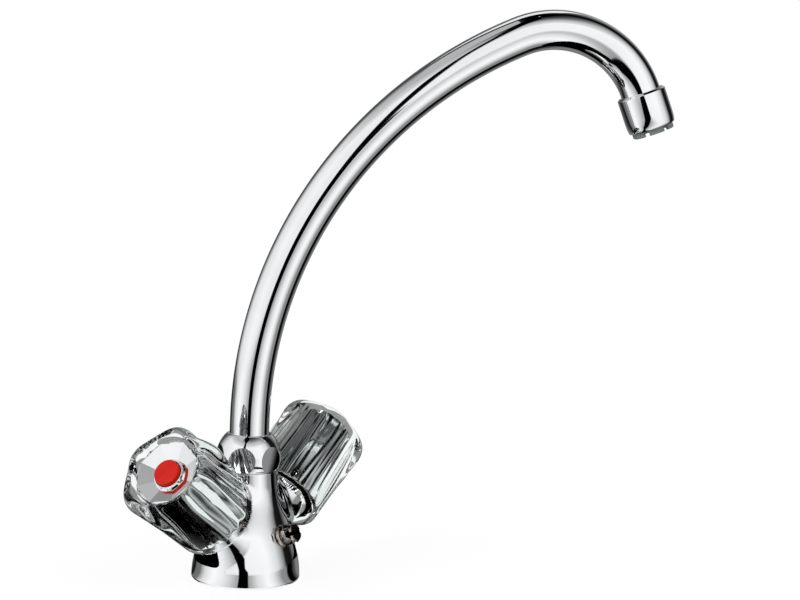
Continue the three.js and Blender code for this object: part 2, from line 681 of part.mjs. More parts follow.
const sleeveBoreRadius = TUBE_RADIUS + REST_GAP;
const sleeveRadius = sleeveBoreRadius + AERATOR_WALL;
const recessRadius = sleeveBoreRadius + AERATOR_STEP;
const washerStart = AERATOR_OVERLAP + REST_GAP;
const recessStart = washerStart + WASHER_THICKNESS;
const insertStart = recessStart + REST_GAP;
const sleeveEnd = insertStart + AERATOR_SKIRT_LENGTH;
const insertRadius = recessRadius - REST_GAP;
const insertBoreRadius = insertRadius - INSERT_WALL;
const insertEnd = sleeveEnd + INSERT_TOOTH_LENGTH;
const screenStart = insertStart + REST_GAP;
const plateStart = screenStart + SCREEN_THICKNESS + REST_GAP;

/** Chrome sleeve with a stepped collar where it meets the tube and a rounded foot. */
function aeratorHousing() {
  const footRadius = recessRadius + AERATOR_FOOT_WALL;
  const taper = Array.from({ length: TAPER_STEPS + 1 }, (_, i) => {
    const turn = Math.PI / 2 * i / TAPER_STEPS;
    const radius = footRadius + (sleeveRadius - footRadius) * Math.cos(turn);
    return [radius, sleeveEnd - AERATOR_TAPER_LENGTH * (1 - Math.sin(turn))];
  });
  return revolve([
    [sleeveBoreRadius, 0],
    [sleeveBoreRadius + AERATOR_RIM_WALL, 0],
    [sleeveRadius, AERATOR_CHAMFER],
    ...taper,
    [recessRadius, sleeveEnd],
    [recessRadius, recessStart],
    [sleeveBoreRadius, recessStart],
  ], FINE);
}

/** Hexagonal rows of places inside a circle, at a pitch. */
function hexPlaces(radius, pitch) {
  const places = [];
  const rows = Math.floor(radius / (pitch * Math.sin(rad(60))));
  for (let row = -rows; row <= rows; row += 1) {
    const y = row * pitch * Math.sin(rad(60));
    const shift = Math.abs(row % 2) * pitch / 2;
    const half = Math.floor(radius / pitch);
    for (let column = -half; column <= half; column += 1) {
      const x = column * pitch + shift;
      if (Math.hypot(x, y) <= radius) places.push([x, y]);
    }
  }
  return places;
}

/** Plastic flow straightener with a castellated foot that shows below the sleeve. */
function aeratorInsert() {
  const shell = toSolid(revolve([
    [insertBoreRadius, insertStart],
    [insertRadius, insertStart],
    [insertRadius, insertEnd - INSERT_FOOT_CHAMFER],
    [insertRadius - INSERT_FOOT_CHAMFER, insertEnd],
    [insertBoreRadius, insertEnd],
  ], FINE));
  const plate = toSolid(bar(insertBoreRadius + INSERT_WALL / 2, plateStart,
    plateStart + INSERT_PLATE_THICKNESS, MEDIUM));
  const reach = 2 * insertRadius;
  const gapWidth = insertRadius * rad(INSERT_TOOTH_GAP);
  const gaps = Array.from({ length: INSERT_TEETH }, (_, i) => toSolid(
    new THREE.BoxGeometry(reach, gapWidth, 2 * INSERT_TOOTH_LENGTH)
      .translate(reach / 2, 0, insertEnd)
      .rotateZ(rad(360 * i / INSERT_TEETH))));
  const spread = insertBoreRadius - INSERT_HOLE_RADIUS - HOLE_MARGIN;
  const ways = hexPlaces(spread, INSERT_HOLE_PITCH).map(([x, y]) => toSolid(
    bar(INSERT_HOLE_RADIUS, plateStart - OVERRUN, plateStart + INSERT_PLATE_THICKNESS + OVERRUN, 4)
      .translate(x, y, 0)));
  return cut(join(shell, plate), ...gaps, ...ways);
}

/** Perforated steel disc above the flow straightener. */
function aeratorScreen() {
  const radius = insertBoreRadius - REST_GAP;
  const screenEnd = screenStart + SCREEN_THICKNESS;
  const disc = toSolid(bar(radius, screenStart, screenEnd, MEDIUM));
  const spread = radius - SCREEN_HOLE_RADIUS - HOLE_MARGIN;
  const holes = hexPlaces(spread, SCREEN_HOLE_PITCH).map(([x, y]) => toSolid(
    bar(SCREEN_HOLE_RADIUS, screenStart - OVERRUN, screenEnd + OVERRUN, 4).translate(x, y, 0)));
  return cut(disc, ...holes);
}

/** Rubber ring between the end of the tube and the insert. */
const aeratorWasher = () => ring(tubeBoreRadius - WASHER_LIP, TUBE_RADIUS, washerStart, recessStart);

// ---------------------------------------------------------------- chain stay, along its own +Z

const stayDiscStart = staySeat + REST_GAP;
const stayDiscEnd = stayDiscStart + STAY_DISC_THICKNESS;
const stayPostStart = stayDiscEnd + REST_GAP;
const stayPostEnd = stayPostStart + STAY_LENGTH;

/** Bevelled disc under the post. */
const stayDisc = () => revolve([
  [STAY_SHANK_RADIUS + REST_GAP, stayDiscStart],
  [STAY_DISC_RADIUS, stayDiscStart],
  [STAY_DISC_RADIUS, stayDiscEnd - STAY_DISC_THICKNESS / 2],
  [STAY_DISC_RADIUS - STAY_DISC_THICKNESS / 2, stayDiscEnd],
  [STAY_SHANK_RADIUS + REST_GAP, stayDiscEnd],
]);

/** Hexagon post with a slot and an eye for the chain of a sink plug. */
function stayPost() {
  const corner = STAY_ACROSS_FLATS / Math.sqrt(3);
  const shankStart = staySeat - STAY_SHANK_LENGTH;
  const bevel = toSolid(revolve([
    [0, shankStart],
    [corner + OVERRUN, shankStart],
    [corner + OVERRUN, stayPostEnd - STAY_BEVEL_HEIGHT],
    [corner - STAY_BEVEL_WIDTH, stayPostEnd],
    [0, stayPostEnd],
  ]));
  const post = toSolid(hexBar(STAY_ACROSS_FLATS, stayPostStart, stayPostEnd));
  const shank = toSolid(bar(STAY_SHANK_RADIUS, shankStart, stayPostStart + OVERRUN, COARSE));
  const slot = toSolid(new THREE.BoxGeometry(4 * corner, STAY_SLOT_WIDTH, 2 * STAY_SLOT_DEPTH)
    .translate(0, 0, stayPostEnd));
  const eye = toSolid(bar(STAY_EYE_RADIUS, -2 * corner, 2 * corner, COARSE)
    .rotateX(Math.PI / 2)
    .translate(0, 0, stayPostEnd - STAY_SLOT_DEPTH / 2));
  return cut(join(post.intersect(bevel), shank), slot, eye);
}

// ---------------------------------------------------------------- valve headwork

const gasketStart = ARM_END_STATION + REST_GAP;
const bonnetHexStart = gasketStart + GASKET_THICKNESS + REST_GAP;
const bonnetHexEnd = bonnetHexStart + BONNET_HEX_HEIGHT;
const bonnetThreadStart = bonnetHexStart - BONNET_THREAD_LENGTH;
const bonnetThreadRadius = VALVE_BORE_RADIUS - REST_GAP;
const seatWasherStart = seatStation + REST_GAP;
const plugFlangeRadius = bonnetThreadRadius - BONNET_SKIRT_WALL - REST_GAP;
const plugFlangeStart = seatWasherStart + SEAT_WASHER_THICKNESS + REST_GAP;
const plugBarrelStart = plugFlangeStart + PLUG_FLANGE_THICKNESS;
const plugBarrelEnd = plugBarrelStart + PLUG_BARREL_LENGTH;
const plugBoreFloor = plugBarrelStart + PLUG_FLOOR;
const spindleStart = plugBoreFloor + PLUG_LIFT + SPINDLE_TIP_CLEARANCE;
const collarStation = plugBarrelEnd + PLUG_LIFT + PLUG_CLEARANCE;
const collarRoof = collarStation + SPINDLE_COLLAR_HEIGHT + REST_GAP;
const bonnetNeckEnd = collarRoof + BONNET_GLAND_LENGTH;
const stemRingStation = (collarRoof + bonnetNeckEnd) / 2;
const circlipStation = bonnetNeckEnd + REST_GAP;
const splineStart = circlipStation + CIRCLIP_THICKNESS + REST_GAP;
const spindleEnd = splineStart + SPINDLE_SPLINE_LENGTH;
const clipGrooveRadius = SPINDLE_SPLINE_RADIUS - SPINDLE_SPLINE_DEPTH - SEAL_PLAY;
const coreBoreTop = spindleEnd + REST_GAP;
const screwSeat = coreBoreTop + CORE_FLOOR_THICKNESS + REST_GAP;
const screwTip = screwSeat - HANDLE_SCREW_LENGTH;

/** Fibre ring between the arm and the bonnet. */
const headGasket = () => ring(bonnetThreadRadius + REST_GAP, armBellRadius - GASKET_INSET,
  gasketStart, gasketStart + GASKET_THICKNESS, HIDDEN);

/** Brass bonnet: thread, hexagon and neck, with a hexagon bore that keeps the plug from turning. */
function valveBonnet() {
  const hexBore = PLUG_ACROSS_FLATS + 2 * REST_GAP;
  const neckRadius = hexBore / Math.sqrt(3) + BONNET_NECK_WALL;
  const thread = toSolid(bar(bonnetThreadRadius, bonnetThreadStart, bonnetHexStart + OVERRUN, HIDDEN));
  const hexagon = toSolid(hexBar(BONNET_ACROSS_FLATS, bonnetHexStart, bonnetHexEnd));
  const neck = toSolid(bar(neckRadius, bonnetHexEnd - OVERRUN, bonnetNeckEnd, HIDDEN));
  const low = bonnetThreadStart - OVERRUN;
  const skirtTop = plugBarrelStart + PLUG_LIFT + PLUG_CLEARANCE;
  const collarFloor = collarStation - REST_GAP;
  const collarBore = SPINDLE_COLLAR_RADIUS + TURN_CLEARANCE;
  const stemBore = SPINDLE_STEM_RADIUS + TURN_CLEARANCE;
  return cut(
    join(thread, hexagon, neck),
    toSolid(bar(plugFlangeRadius + REST_GAP, low, skirtTop, HIDDEN)),
    toSolid(hexBar(hexBore, low, collarFloor)),
    toSolid(bar(collarBore, collarFloor - OVERRUN, collarRoof, HIDDEN)),
    toSolid(bar(stemBore, collarRoof - OVERRUN, bonnetNeckEnd + OVERRUN, HIDDEN)),
  );
}

/** Spindle that turns but doesn't rise: thread for the plug, collar, stem and splines. */
function valveSpindle() {
  const groove = (SPINDLE_RING_SECTION + REST_GAP) / 2;
  const grooveRadius = SPINDLE_STEM_RADIUS - SPINDLE_RING_SECTION;
  const turned = toSolid(revolve([
    [0, spindleStart],
    [SPINDLE_THREAD_RADIUS, spindleStart],
    [SPINDLE_THREAD_RADIUS, collarStation],
    [SPINDLE_COLLAR_RADIUS, collarStation],
    [SPINDLE_COLLAR_RADIUS, collarStation + SPINDLE_COLLAR_HEIGHT],
    [SPINDLE_STEM_RADIUS, collarStation + SPINDLE_COLLAR_HEIGHT],
    [SPINDLE_STEM_RADIUS, stemRingStation - groove],
    [grooveRadius, stemRingStation - groove],
    [grooveRadius, stemRingStation + groove],
    [SPINDLE_STEM_RADIUS, stemRingStation + groove],
    [SPINDLE_STEM_RADIUS, circlipStation - REST_GAP],
    [clipGrooveRadius, circlipStation - REST_GAP],
    [clipGrooveRadius, splineStart + OVERRUN],
    [0, splineStart + OVERRUN],
  ], HIDDEN));
  const tooth = new THREE.Shape();
  for (let i = 0; i < 2 * SPINDLE_SPLINE_TEETH; i += 1) {
    const radius = SPINDLE_SPLINE_RADIUS - (i % 2) * SPINDLE_SPLINE_DEPTH;
    const angle = Math.PI * i / SPINDLE_SPLINE_TEETH;
    const place = [radius * Math.cos(angle), radius * Math.sin(angle)];
    if (i === 0) tooth.moveTo(...place);
    else tooth.lineTo(...place);
  }
  const splines = new THREE.ExtrudeGeometry(tooth,
    { depth: SPINDLE_SPLINE_LENGTH, bevelEnabled: false })
    .translate(0, 0, splineStart);
  const tap = bar(HANDLE_SCREW_RADIUS + REST_GAP, screwTip - SPINDLE_TAP_SPARE,
    spindleEnd + OVERRUN, COARSE);
  return cut(join(turned, toSolid(splines)), toSolid(tap));
}

/** O-ring on the stem of the spindle. */
const spindleRing = () => oRing(SPINDLE_STEM_RADIUS - SPINDLE_RING_SECTION + SEAL_PLAY,
  SPINDLE_RING_SECTION - SEAL_PLAY, stemRingStation);

/** Open spring ring that keeps the spindle in the bonnet. */
function spindleCirclip() {
  const inner = clipGrooveRadius + REST_GAP;
  const from = rad(CIRCLIP_GAP / 2);
  const to = 2 * Math.PI - from;
  const shape = new THREE.Shape();
  shape.absarc(0, 0, CIRCLIP_RADIUS, from, to, false);
  shape.absarc(0, 0, inner, to, from, true);
  return new THREE.ExtrudeGeometry(shape,
    { depth: CIRCLIP_THICKNESS, bevelEnabled: false, curveSegments: MEDIUM / 2 })
    .translate(0, 0, circlipStation);
}

/** Plug that the spindle's thread lifts off the seat: washer cup, flange and hexagon barrel. */
function valvePlug() {
  const flange = toSolid(bar(plugFlangeRadius, plugFlangeStart, plugBarrelStart, HIDDEN));
  const cup = toSolid(ring(plugFlangeRadius - PLUG_CUP_WALL, plugFlangeRadius,
    plugFlangeStart - PLUG_CUP_DEPTH, plugFlangeStart + OVERRUN, HIDDEN));
  const barrel = toSolid(hexBar(PLUG_ACROSS_FLATS, plugBarrelStart - OVERRUN, plugBarrelEnd));
  const boreRadius = SPINDLE_THREAD_RADIUS + TURN_CLEARANCE;
  const screwHole = WASHER_SCREW_RADIUS + REST_GAP;
  return cut(
    join(flange, cup, barrel),
    toSolid(bar(boreRadius, plugBoreFloor, plugBarrelEnd + OVERRUN, HIDDEN)),
    toSolid(bar(screwHole, plugFlangeStart - OVERRUN, plugBarrelStart, HIDDEN)),
  );
}

/** Rubber washer that closes on the seat. */
const seatWasher = () => ring(WASHER_SCREW_RADIUS + REST_GAP, plugFlangeRadius - PLUG_CUP_WALL - REST_GAP,
  seatWasherStart, seatWasherStart + SEAT_WASHER_THICKNESS, HIDDEN);

/** Screw that holds the washer, with a slot in its head. */
function washerScrew() {
  const headLow = seatStation - WASHER_SCREW_HEAD_HEIGHT;
  const top = plugBarrelStart - REST_GAP;
  const body = toSolid(revolve([
    [0, headLow],
    [WASHER_SCREW_HEAD_RADIUS, headLow],
    [WASHER_SCREW_HEAD_RADIUS, seatStation],
    [WASHER_SCREW_RADIUS, seatStation],
    [WASHER_SCREW_RADIUS, top],
    [0, top],
  ], HIDDEN));
  const slot = new THREE.BoxGeometry(
    3 * WASHER_SCREW_HEAD_RADIUS, WASHER_SCREW_SLOT_WIDTH, 2 * WASHER_SCREW_SLOT_DEPTH);
  return cut(body, toSolid(slot.translate(0, 0, headLow)));
}

// ---------------------------------------------------------------- handle

const wellFloor = coreBoreTop + CORE_FLOOR_THICKNESS;
const wellRim = wellFloor + BUTTON_WELL_DEPTH;
const wellRadius = BUTTON_RADIUS + BUTTON_CLEARANCE;
const handleRear = ARM_END_STATION - HANDLE_SKIRT_OVERLAP;
const coreRear = handleRear + CORE_REAR_SETBACK;
const coreFront = wellRim + BUTTON_WELL_SETBACK;
const handleFront = coreFront + HANDLE_FRONT_LIP;
const screwTop = screwSeat + HANDLE_SCREW_HEAD_HEIGHT;
const coreSlope = (CORE_FRONT_RADIUS - CORE_REAR_RADIUS) / (coreFront - coreRear);
const coreRadius = (station) => CORE_REAR_RADIUS + coreSlope * (station - coreRear);

/** Clear lobed knob: a round rear rim that swells into six lobes, and a domed front. */
function crystalHandle() {
  const mouthRadius = CORE_REAR_RADIUS + HANDLE_MOUTH_STEP;
  const rearRadius = mouthRadius + HANDLE_REAR_WALL;
  const frontRadius = CORE_FRONT_RADIUS + HANDLE_FRONT_WALL;
  const crest = handleFront - HANDLE_DOME_LENGTH;
  const outer = [];
  for (let i = 0; i <= SKIRT_STEPS; i += 1) {
    const share = i / SKIRT_STEPS;
    outer.push({
      station: handleRear + (crest - handleRear) * share,
      radius: rearRadius + (HANDLE_CREST_RADIUS - rearRadius) * share,
      depth: HANDLE_LOBE_DEPTH * share,
    });
  }
  for (let i = 1; i <= DOME_STEPS; i += 1) {
    const turn = Math.PI / 2 * i / DOME_STEPS;
    outer.push({
      station: crest + HANDLE_DOME_LENGTH * Math.sin(turn),
      radius: frontRadius + (HANDLE_CREST_RADIUS - frontRadius) * Math.cos(turn),
      depth: HANDLE_LOBE_DEPTH * Math.cos(turn),
    });
  }
  const inner = [coreFront + HANDLE_BORE_LIP, coreRear].map((station) => ({
    station, radius: coreRadius(station) + REST_GAP, depth: 0,
  }));
  const mouth = { station: handleRear, radius: mouthRadius, depth: 0 };
  const rings = [...outer, ...inner, mouth];
  const positions = rings.flatMap(({ station, radius, depth }) => Array.from(
    { length: LOBE_STEPS }, (_, i) => {
      const angle = 2 * Math.PI * i / LOBE_STEPS;
      const swell = radius * (1 - depth * (1 - Math.cos(HANDLE_LOBES * angle)) / 2);
      return [swell * Math.cos(angle), swell * Math.sin(angle), station];
    }).flat());
  const index = rings.flatMap((_, row) => Array.from({ length: LOBE_STEPS }, (__, i) => {
    const next = (i + 1) % LOBE_STEPS;
    const here = row * LOBE_STEPS;
    const there = ((row + 1) % rings.length) * LOBE_STEPS;
    return [here + i, here + next, there + next, here + i, there + next, there + i];
  }).flat());
  const geometry = new THREE.BufferGeometry();
  geometry.setAttribute('position', new THREE.Float32BufferAttribute(positions, 3));
  geometry.setIndex(index);
  return geometry;
}

/** Chromed core: tapered sleeve, faceted dish, button well and splined boss. */
function handleCore() {
  const dishFloor = coreFront - DISH_DEPTH;
  const shoulder = dishFloor - DISH_THICKNESS;
  const bossStart = circlipStation + CIRCLIP_THICKNESS + CORE_BOSS_CLEARANCE;
  const bossBore = SPINDLE_SPLINE_RADIUS + REST_GAP;
  const screwHole = HANDLE_SCREW_RADIUS + REST_GAP;
  const wellOuter = wellRadius + BUTTON_WELL_WALL;
  const blank = toSolid(revolve([
    [screwHole, coreBoreTop],
    [screwHole, wellFloor],
    [wellRadius, wellFloor],
    [wellRadius, coreFront],
    [CORE_FRONT_RADIUS, coreFront],
    [CORE_REAR_RADIUS, coreRear],
    [CORE_REAR_RADIUS - CORE_WALL, coreRear],
    [coreRadius(shoulder) - CORE_WALL, shoulder],
    [CORE_BOSS_RADIUS, shoulder],
    [CORE_BOSS_RADIUS, bossStart],
    [bossBore, bossStart],
    [bossBore, coreBoreTop],
  ], CORE_SIDES));
  const dishFloorRadius = wellOuter / Math.cos(Math.PI / DISH_FACETS);
  const dishSlope = (CORE_FRONT_RADIUS - DISH_RIM_WIDTH - dishFloorRadius) / DISH_DEPTH;
  const dishHeight = DISH_DEPTH + OVERRUN;
  const dish = toSolid(new THREE.CylinderGeometry(
    dishFloorRadius + dishSlope * dishHeight, dishFloorRadius, dishHeight, DISH_FACETS)
    .rotateX(Math.PI / 2)
    .translate(0, 0, dishFloor + dishHeight / 2));
  const rim = toSolid(ring(wellRadius, wellOuter, shoulder, wellRim, CORE_SIDES));
  return join(cut(blank, dish), rim);
}

/** Screw that holds the handle on the spindle, with a cross recess. */
function handleScrew() {
  const body = toSolid(revolve([
    [0, screwTip],
    [HANDLE_SCREW_RADIUS, screwTip],
    [HANDLE_SCREW_RADIUS, screwSeat],
    [HANDLE_SCREW_HEAD_RADIUS, screwSeat],
    [HANDLE_SCREW_HEAD_RADIUS, screwTop - HANDLE_SCREW_HEAD_CHAMFER],
    [HANDLE_SCREW_HEAD_RADIUS - HANDLE_SCREW_HEAD_CHAMFER, screwTop],
    [0, screwTop],
  ], COARSE));
  const recess = [0, 90].map((turn) => toSolid(new THREE.BoxGeometry(
    HANDLE_SCREW_RECESS_SPAN, HANDLE_SCREW_RECESS_WIDTH, 2 * HANDLE_SCREW_RECESS_DEPTH)
    .translate(0, 0, screwTop)
    .rotateZ(rad(turn))));
  return cut(body, ...recess);
}

/** Coloured button with a slightly crowned face and a clip skirt. */
function indexButton() {
  const top = wellRim + BUTTON_PROUD;
  const capFloor = top - BUTTON_CAP_THICKNESS;
  const foot = screwTop + BUTTON_FOOT_GAP;
  return revolve([
    [0, capFloor],
    [BUTTON_RADIUS - BUTTON_WALL, capFloor],
    [BUTTON_RADIUS - BUTTON_WALL, foot],
    [BUTTON_RADIUS, foot],
    [BUTTON_RADIUS, top - BUTTON_CROWN],
    [BUTTON_RADIUS / 2, top - BUTTON_CROWN / 4],
    [0, top],
  ]);
}

// ---------------------------------------------------------------- assembly

/** Adds a named mesh to a group; the shape is a geometry or a solid. */
function place(group, name, shape, material) {
  const geometry = shape.isBufferGeometry ? toGeometry(toSolid(shape)) : toGeometry(shape);
  const mesh = new THREE.Mesh(geometry, material);
  mesh.name = name;
  group.add(mesh);
  return mesh;
}

/** A group that carries a frame. */
function framed(matrix) {
  const group = new THREE.Group();
  group.applyMatrix4(matrix);
  return group;
}

/** One arm's headwork and handle. */
function handleSide(name, side, turn, buttonMaterial) {
  const arm = framed(armMatrix(side));
  place(arm, `${name}_head_gasket`, headGasket(), MATERIAL.rubber());
  place(arm, `${name}_valve_bonnet`, valveBonnet(), MATERIAL.brass());

  const plunger = new THREE.Group();
  place(plunger, `${name}_valve_plug`, valvePlug(), MATERIAL.brass());
  place(plunger, `${name}_seat_washer`, seatWasher(), MATERIAL.rubber());
  place(plunger, `${name}_washer_screw`, washerScrew(), MATERIAL.brass());
  arm.add(plunger);

  const turning = new THREE.Group();
  turning.rotation.z = rad(turn);
  place(turning, `${name}_spindle`, valveSpindle(), MATERIAL.brass());
  place(turning, `${name}_spindle_o_ring`, spindleRing(), MATERIAL.rubber());
  place(turning, `${name}_spindle_circlip`, spindleCirclip(), MATERIAL.steel());
  place(turning, `${name}_handle_core`, handleCore(), MATERIAL.chrome());
  place(turning, `${name}_crystal_handle`, crystalHandle(), MATERIAL.crystal());
  place(turning, `${name}_handle_screw`, handleScrew(), MATERIAL.steel());
  place(turning, `${name}_index_button`, indexButton(), buttonMaterial);
  arm.add(turning);
  return arm;
}

const faucet = new THREE.Group();

place(faucet, 'body_casting', bodyCasting(), MATERIAL.chrome());
place(faucet, 'base_gasket', baseGasket(), MATERIAL.rubber());
const nut = place(faucet, 'spout_nut', spoutNut(), MATERIAL.chrome());
nut.rotation.z = rad(NUT_TURN);
place(faucet, 'spout_slip_ring', slipRing(), MATERIAL.whitePlastic());

const stay = framed(stayMatrix());
place(stay, 'chain_stay_disc', stayDisc(), MATERIAL.darkNickel());
place(stay, 'chain_stay_post', stayPost(), MATERIAL.darkNickel());
faucet.add(stay);

const swivel = new THREE.Group();
swivel.rotation.z = rad(SPOUT_TURN - 90);
place(swivel, 'spout_tube', spoutTube(), MATERIAL.chrome());
place(swivel, 'spout_spigot', spoutSpigot(), MATERIAL.brass());
['lower', 'upper'].forEach((name, i) =>
  place(swivel, `spout_o_ring_${name}`, spoutRing(ringHeights[i]), MATERIAL.rubber()));

const outlet = new THREE.Group();
outlet.position.copy(spoutCurve.outlet);
outlet.rotation.y = outletHeading;
place(outlet, 'aerator_housing', aeratorHousing(), MATERIAL.chrome());
place(outlet, 'aerator_insert', aeratorInsert(), MATERIAL.greyPlastic());
place(outlet, 'aerator_screen', aeratorScreen(), MATERIAL.steel());
place(outlet, 'aerator_washer', aeratorWasher(), MATERIAL.rubber());
swivel.add(outlet);
faucet.add(swivel);

faucet.add(handleSide('hot', -1, HOT_HANDLE_TURN, MATERIAL.hotRed()));
faucet.add(handleSide('cold', 1, COLD_HANDLE_TURN, MATERIAL.coldBlue()));

export default faucet;
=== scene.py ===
"""Two handle kitchen faucet: fine surfaces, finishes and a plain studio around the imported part.

Sizes inside the classes are millimetres in the part's own frame; every finished mesh is scaled to metres.
A station is a distance along an arm from the point where its axis meets the axis of the column.
"""

from __future__ import annotations

import json
import logging
import math
from dataclasses import dataclass, field
from enum import Enum
from typing import Iterable, Mapping, Sequence, Union

import bmesh
import bpy
import numpy as np
from mathutils import Matrix, Vector

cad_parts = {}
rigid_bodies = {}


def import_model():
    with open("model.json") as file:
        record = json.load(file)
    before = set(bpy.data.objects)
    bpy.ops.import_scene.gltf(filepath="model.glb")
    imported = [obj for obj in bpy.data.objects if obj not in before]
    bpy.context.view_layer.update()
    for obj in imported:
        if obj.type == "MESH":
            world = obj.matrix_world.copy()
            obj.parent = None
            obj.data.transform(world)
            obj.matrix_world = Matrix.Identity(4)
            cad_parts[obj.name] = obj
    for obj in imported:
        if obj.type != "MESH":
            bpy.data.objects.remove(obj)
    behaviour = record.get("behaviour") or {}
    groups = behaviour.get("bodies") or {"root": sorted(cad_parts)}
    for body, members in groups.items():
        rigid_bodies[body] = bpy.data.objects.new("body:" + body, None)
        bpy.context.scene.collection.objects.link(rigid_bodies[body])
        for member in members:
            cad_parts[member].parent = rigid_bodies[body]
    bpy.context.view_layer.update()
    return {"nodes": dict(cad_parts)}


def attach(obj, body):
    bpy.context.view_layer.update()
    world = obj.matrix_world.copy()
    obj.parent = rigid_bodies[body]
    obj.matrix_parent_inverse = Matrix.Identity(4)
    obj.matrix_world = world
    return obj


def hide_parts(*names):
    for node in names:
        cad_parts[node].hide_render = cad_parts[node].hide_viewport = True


LOG = logging.getLogger("faucet")
MM = 0.001
TO_METRES = Matrix.Scale(MM, 4)
TO_MILLIMETRES = Matrix.Scale(1 / MM, 4)
UPRIGHT = Matrix.Identity(4)
SHARP_ANGLE = math.radians(32)
ON_AXIS = 1e-9
BLACK = 0.0005

Point = tuple[float, float]
Spot = tuple[float, float, float]
Colour = tuple[float, float, float]
Tones = tuple[tuple[float, float], ...]
Edges = list[bmesh.types.BMEdge]
Value = Union["Socket", float, int, Sequence[float]]


class Side(Enum):
    """The two arms: the sign of their direction along X."""

    HOT = -1
    COLD = 1

    @property
    def word(self) -> str:
        """The word that starts the names of this side's nodes."""
        return self.name.lower()


class Viewer(Enum):
    """Who sees a piece of the studio; the camera never does."""

    METAL = "mirrored by bare metal"
    CRYSTAL = "seen in and through the clear knobs"


# ---------------------------------------------------------------- node trees


class NodeTree:
    """A node tree and the way in which nodes are added to it."""

    def __init__(self, tree: bpy.types.NodeTree) -> None:
        """Keeps the tree that nodes are added to."""
        self.tree = tree

    def add(
        self,
        kind: str,
        settings: Mapping[str, object] | None = None,
        values: Mapping[Union[str, int], object] | None = None,
    ) -> bpy.types.Node:
        """Adds a node.

        Args:
            kind: the node's type.
            settings: properties set first.
            values: sockets to link from, or plain values, by input.

        Returns:
            The node.
        """
        node = self.tree.nodes.new(kind)
        for name, setting in (settings or {}).items():
            setattr(node, name, setting)
        for name, value in (values or {}).items():
            if isinstance(value, bpy.types.NodeSocket):
                self.tree.links.new(value, node.inputs[name])
            else:
                node.inputs[name].default_value = value
        return node


class Socket:
    """An output of a node, so that shader maths reads as an expression."""

    def __init__(self, tree: "ShaderTree", port: bpy.types.NodeSocket) -> None:
        """Wraps one output of a node in the tree."""
        self.tree, self.port = tree, port

    def _math(self, operation: str, *values: Value) -> "Socket":
        """One Math node on the values."""
        return self.tree.node("ShaderNodeMath", {"operation": operation}, dict(enumerate(values)))

    def __add__(self, other: Value) -> "Socket":
        """self + other."""
        return self._math("ADD", self, other)

    def __sub__(self, other: Value) -> "Socket":
        """self - other."""
        return self._math("SUBTRACT", self, other)

    def __rsub__(self, other: Value) -> "Socket":
        """other - self."""
        return self._math("SUBTRACT", other, self)

    def __mul__(self, other: Value) -> "Socket":
        """self * other."""
        return self._math("MULTIPLY", self, other)

    def __pow__(self, other: Value) -> "Socket":
        """self ** other."""
        return self._math("POWER", self, other)

    def most(self, other: Value) -> "Socket":
        """The greater of the two."""
        return self._math("MAXIMUM", self, other)

    def fraction(self) -> "Socket":
        """What is left of it past the whole number below."""
        return self._math("FRACT", self)

    def angle_over(self, other: Value) -> "Socket":
        """The angle whose sides are self and other, as atan2 gives it."""
        return self._math("ARCTAN2", self, other)

    def above(self, threshold: float, width: float) -> "Socket":
        """A soft step.

        Args:
            threshold: where the step is half way up.
            width: how wide the step is.

        Returns:
            0 below the step and 1 above it.
        """
        settings = {"interpolation_type": "SMOOTHSTEP", "clamp": True}
        low, high = threshold - width / 2, threshold + width / 2
        return self.tree.node("ShaderNodeMapRange", settings, {0: self, 1: low, 2: high, 3: 0.0, 4: 1.0})


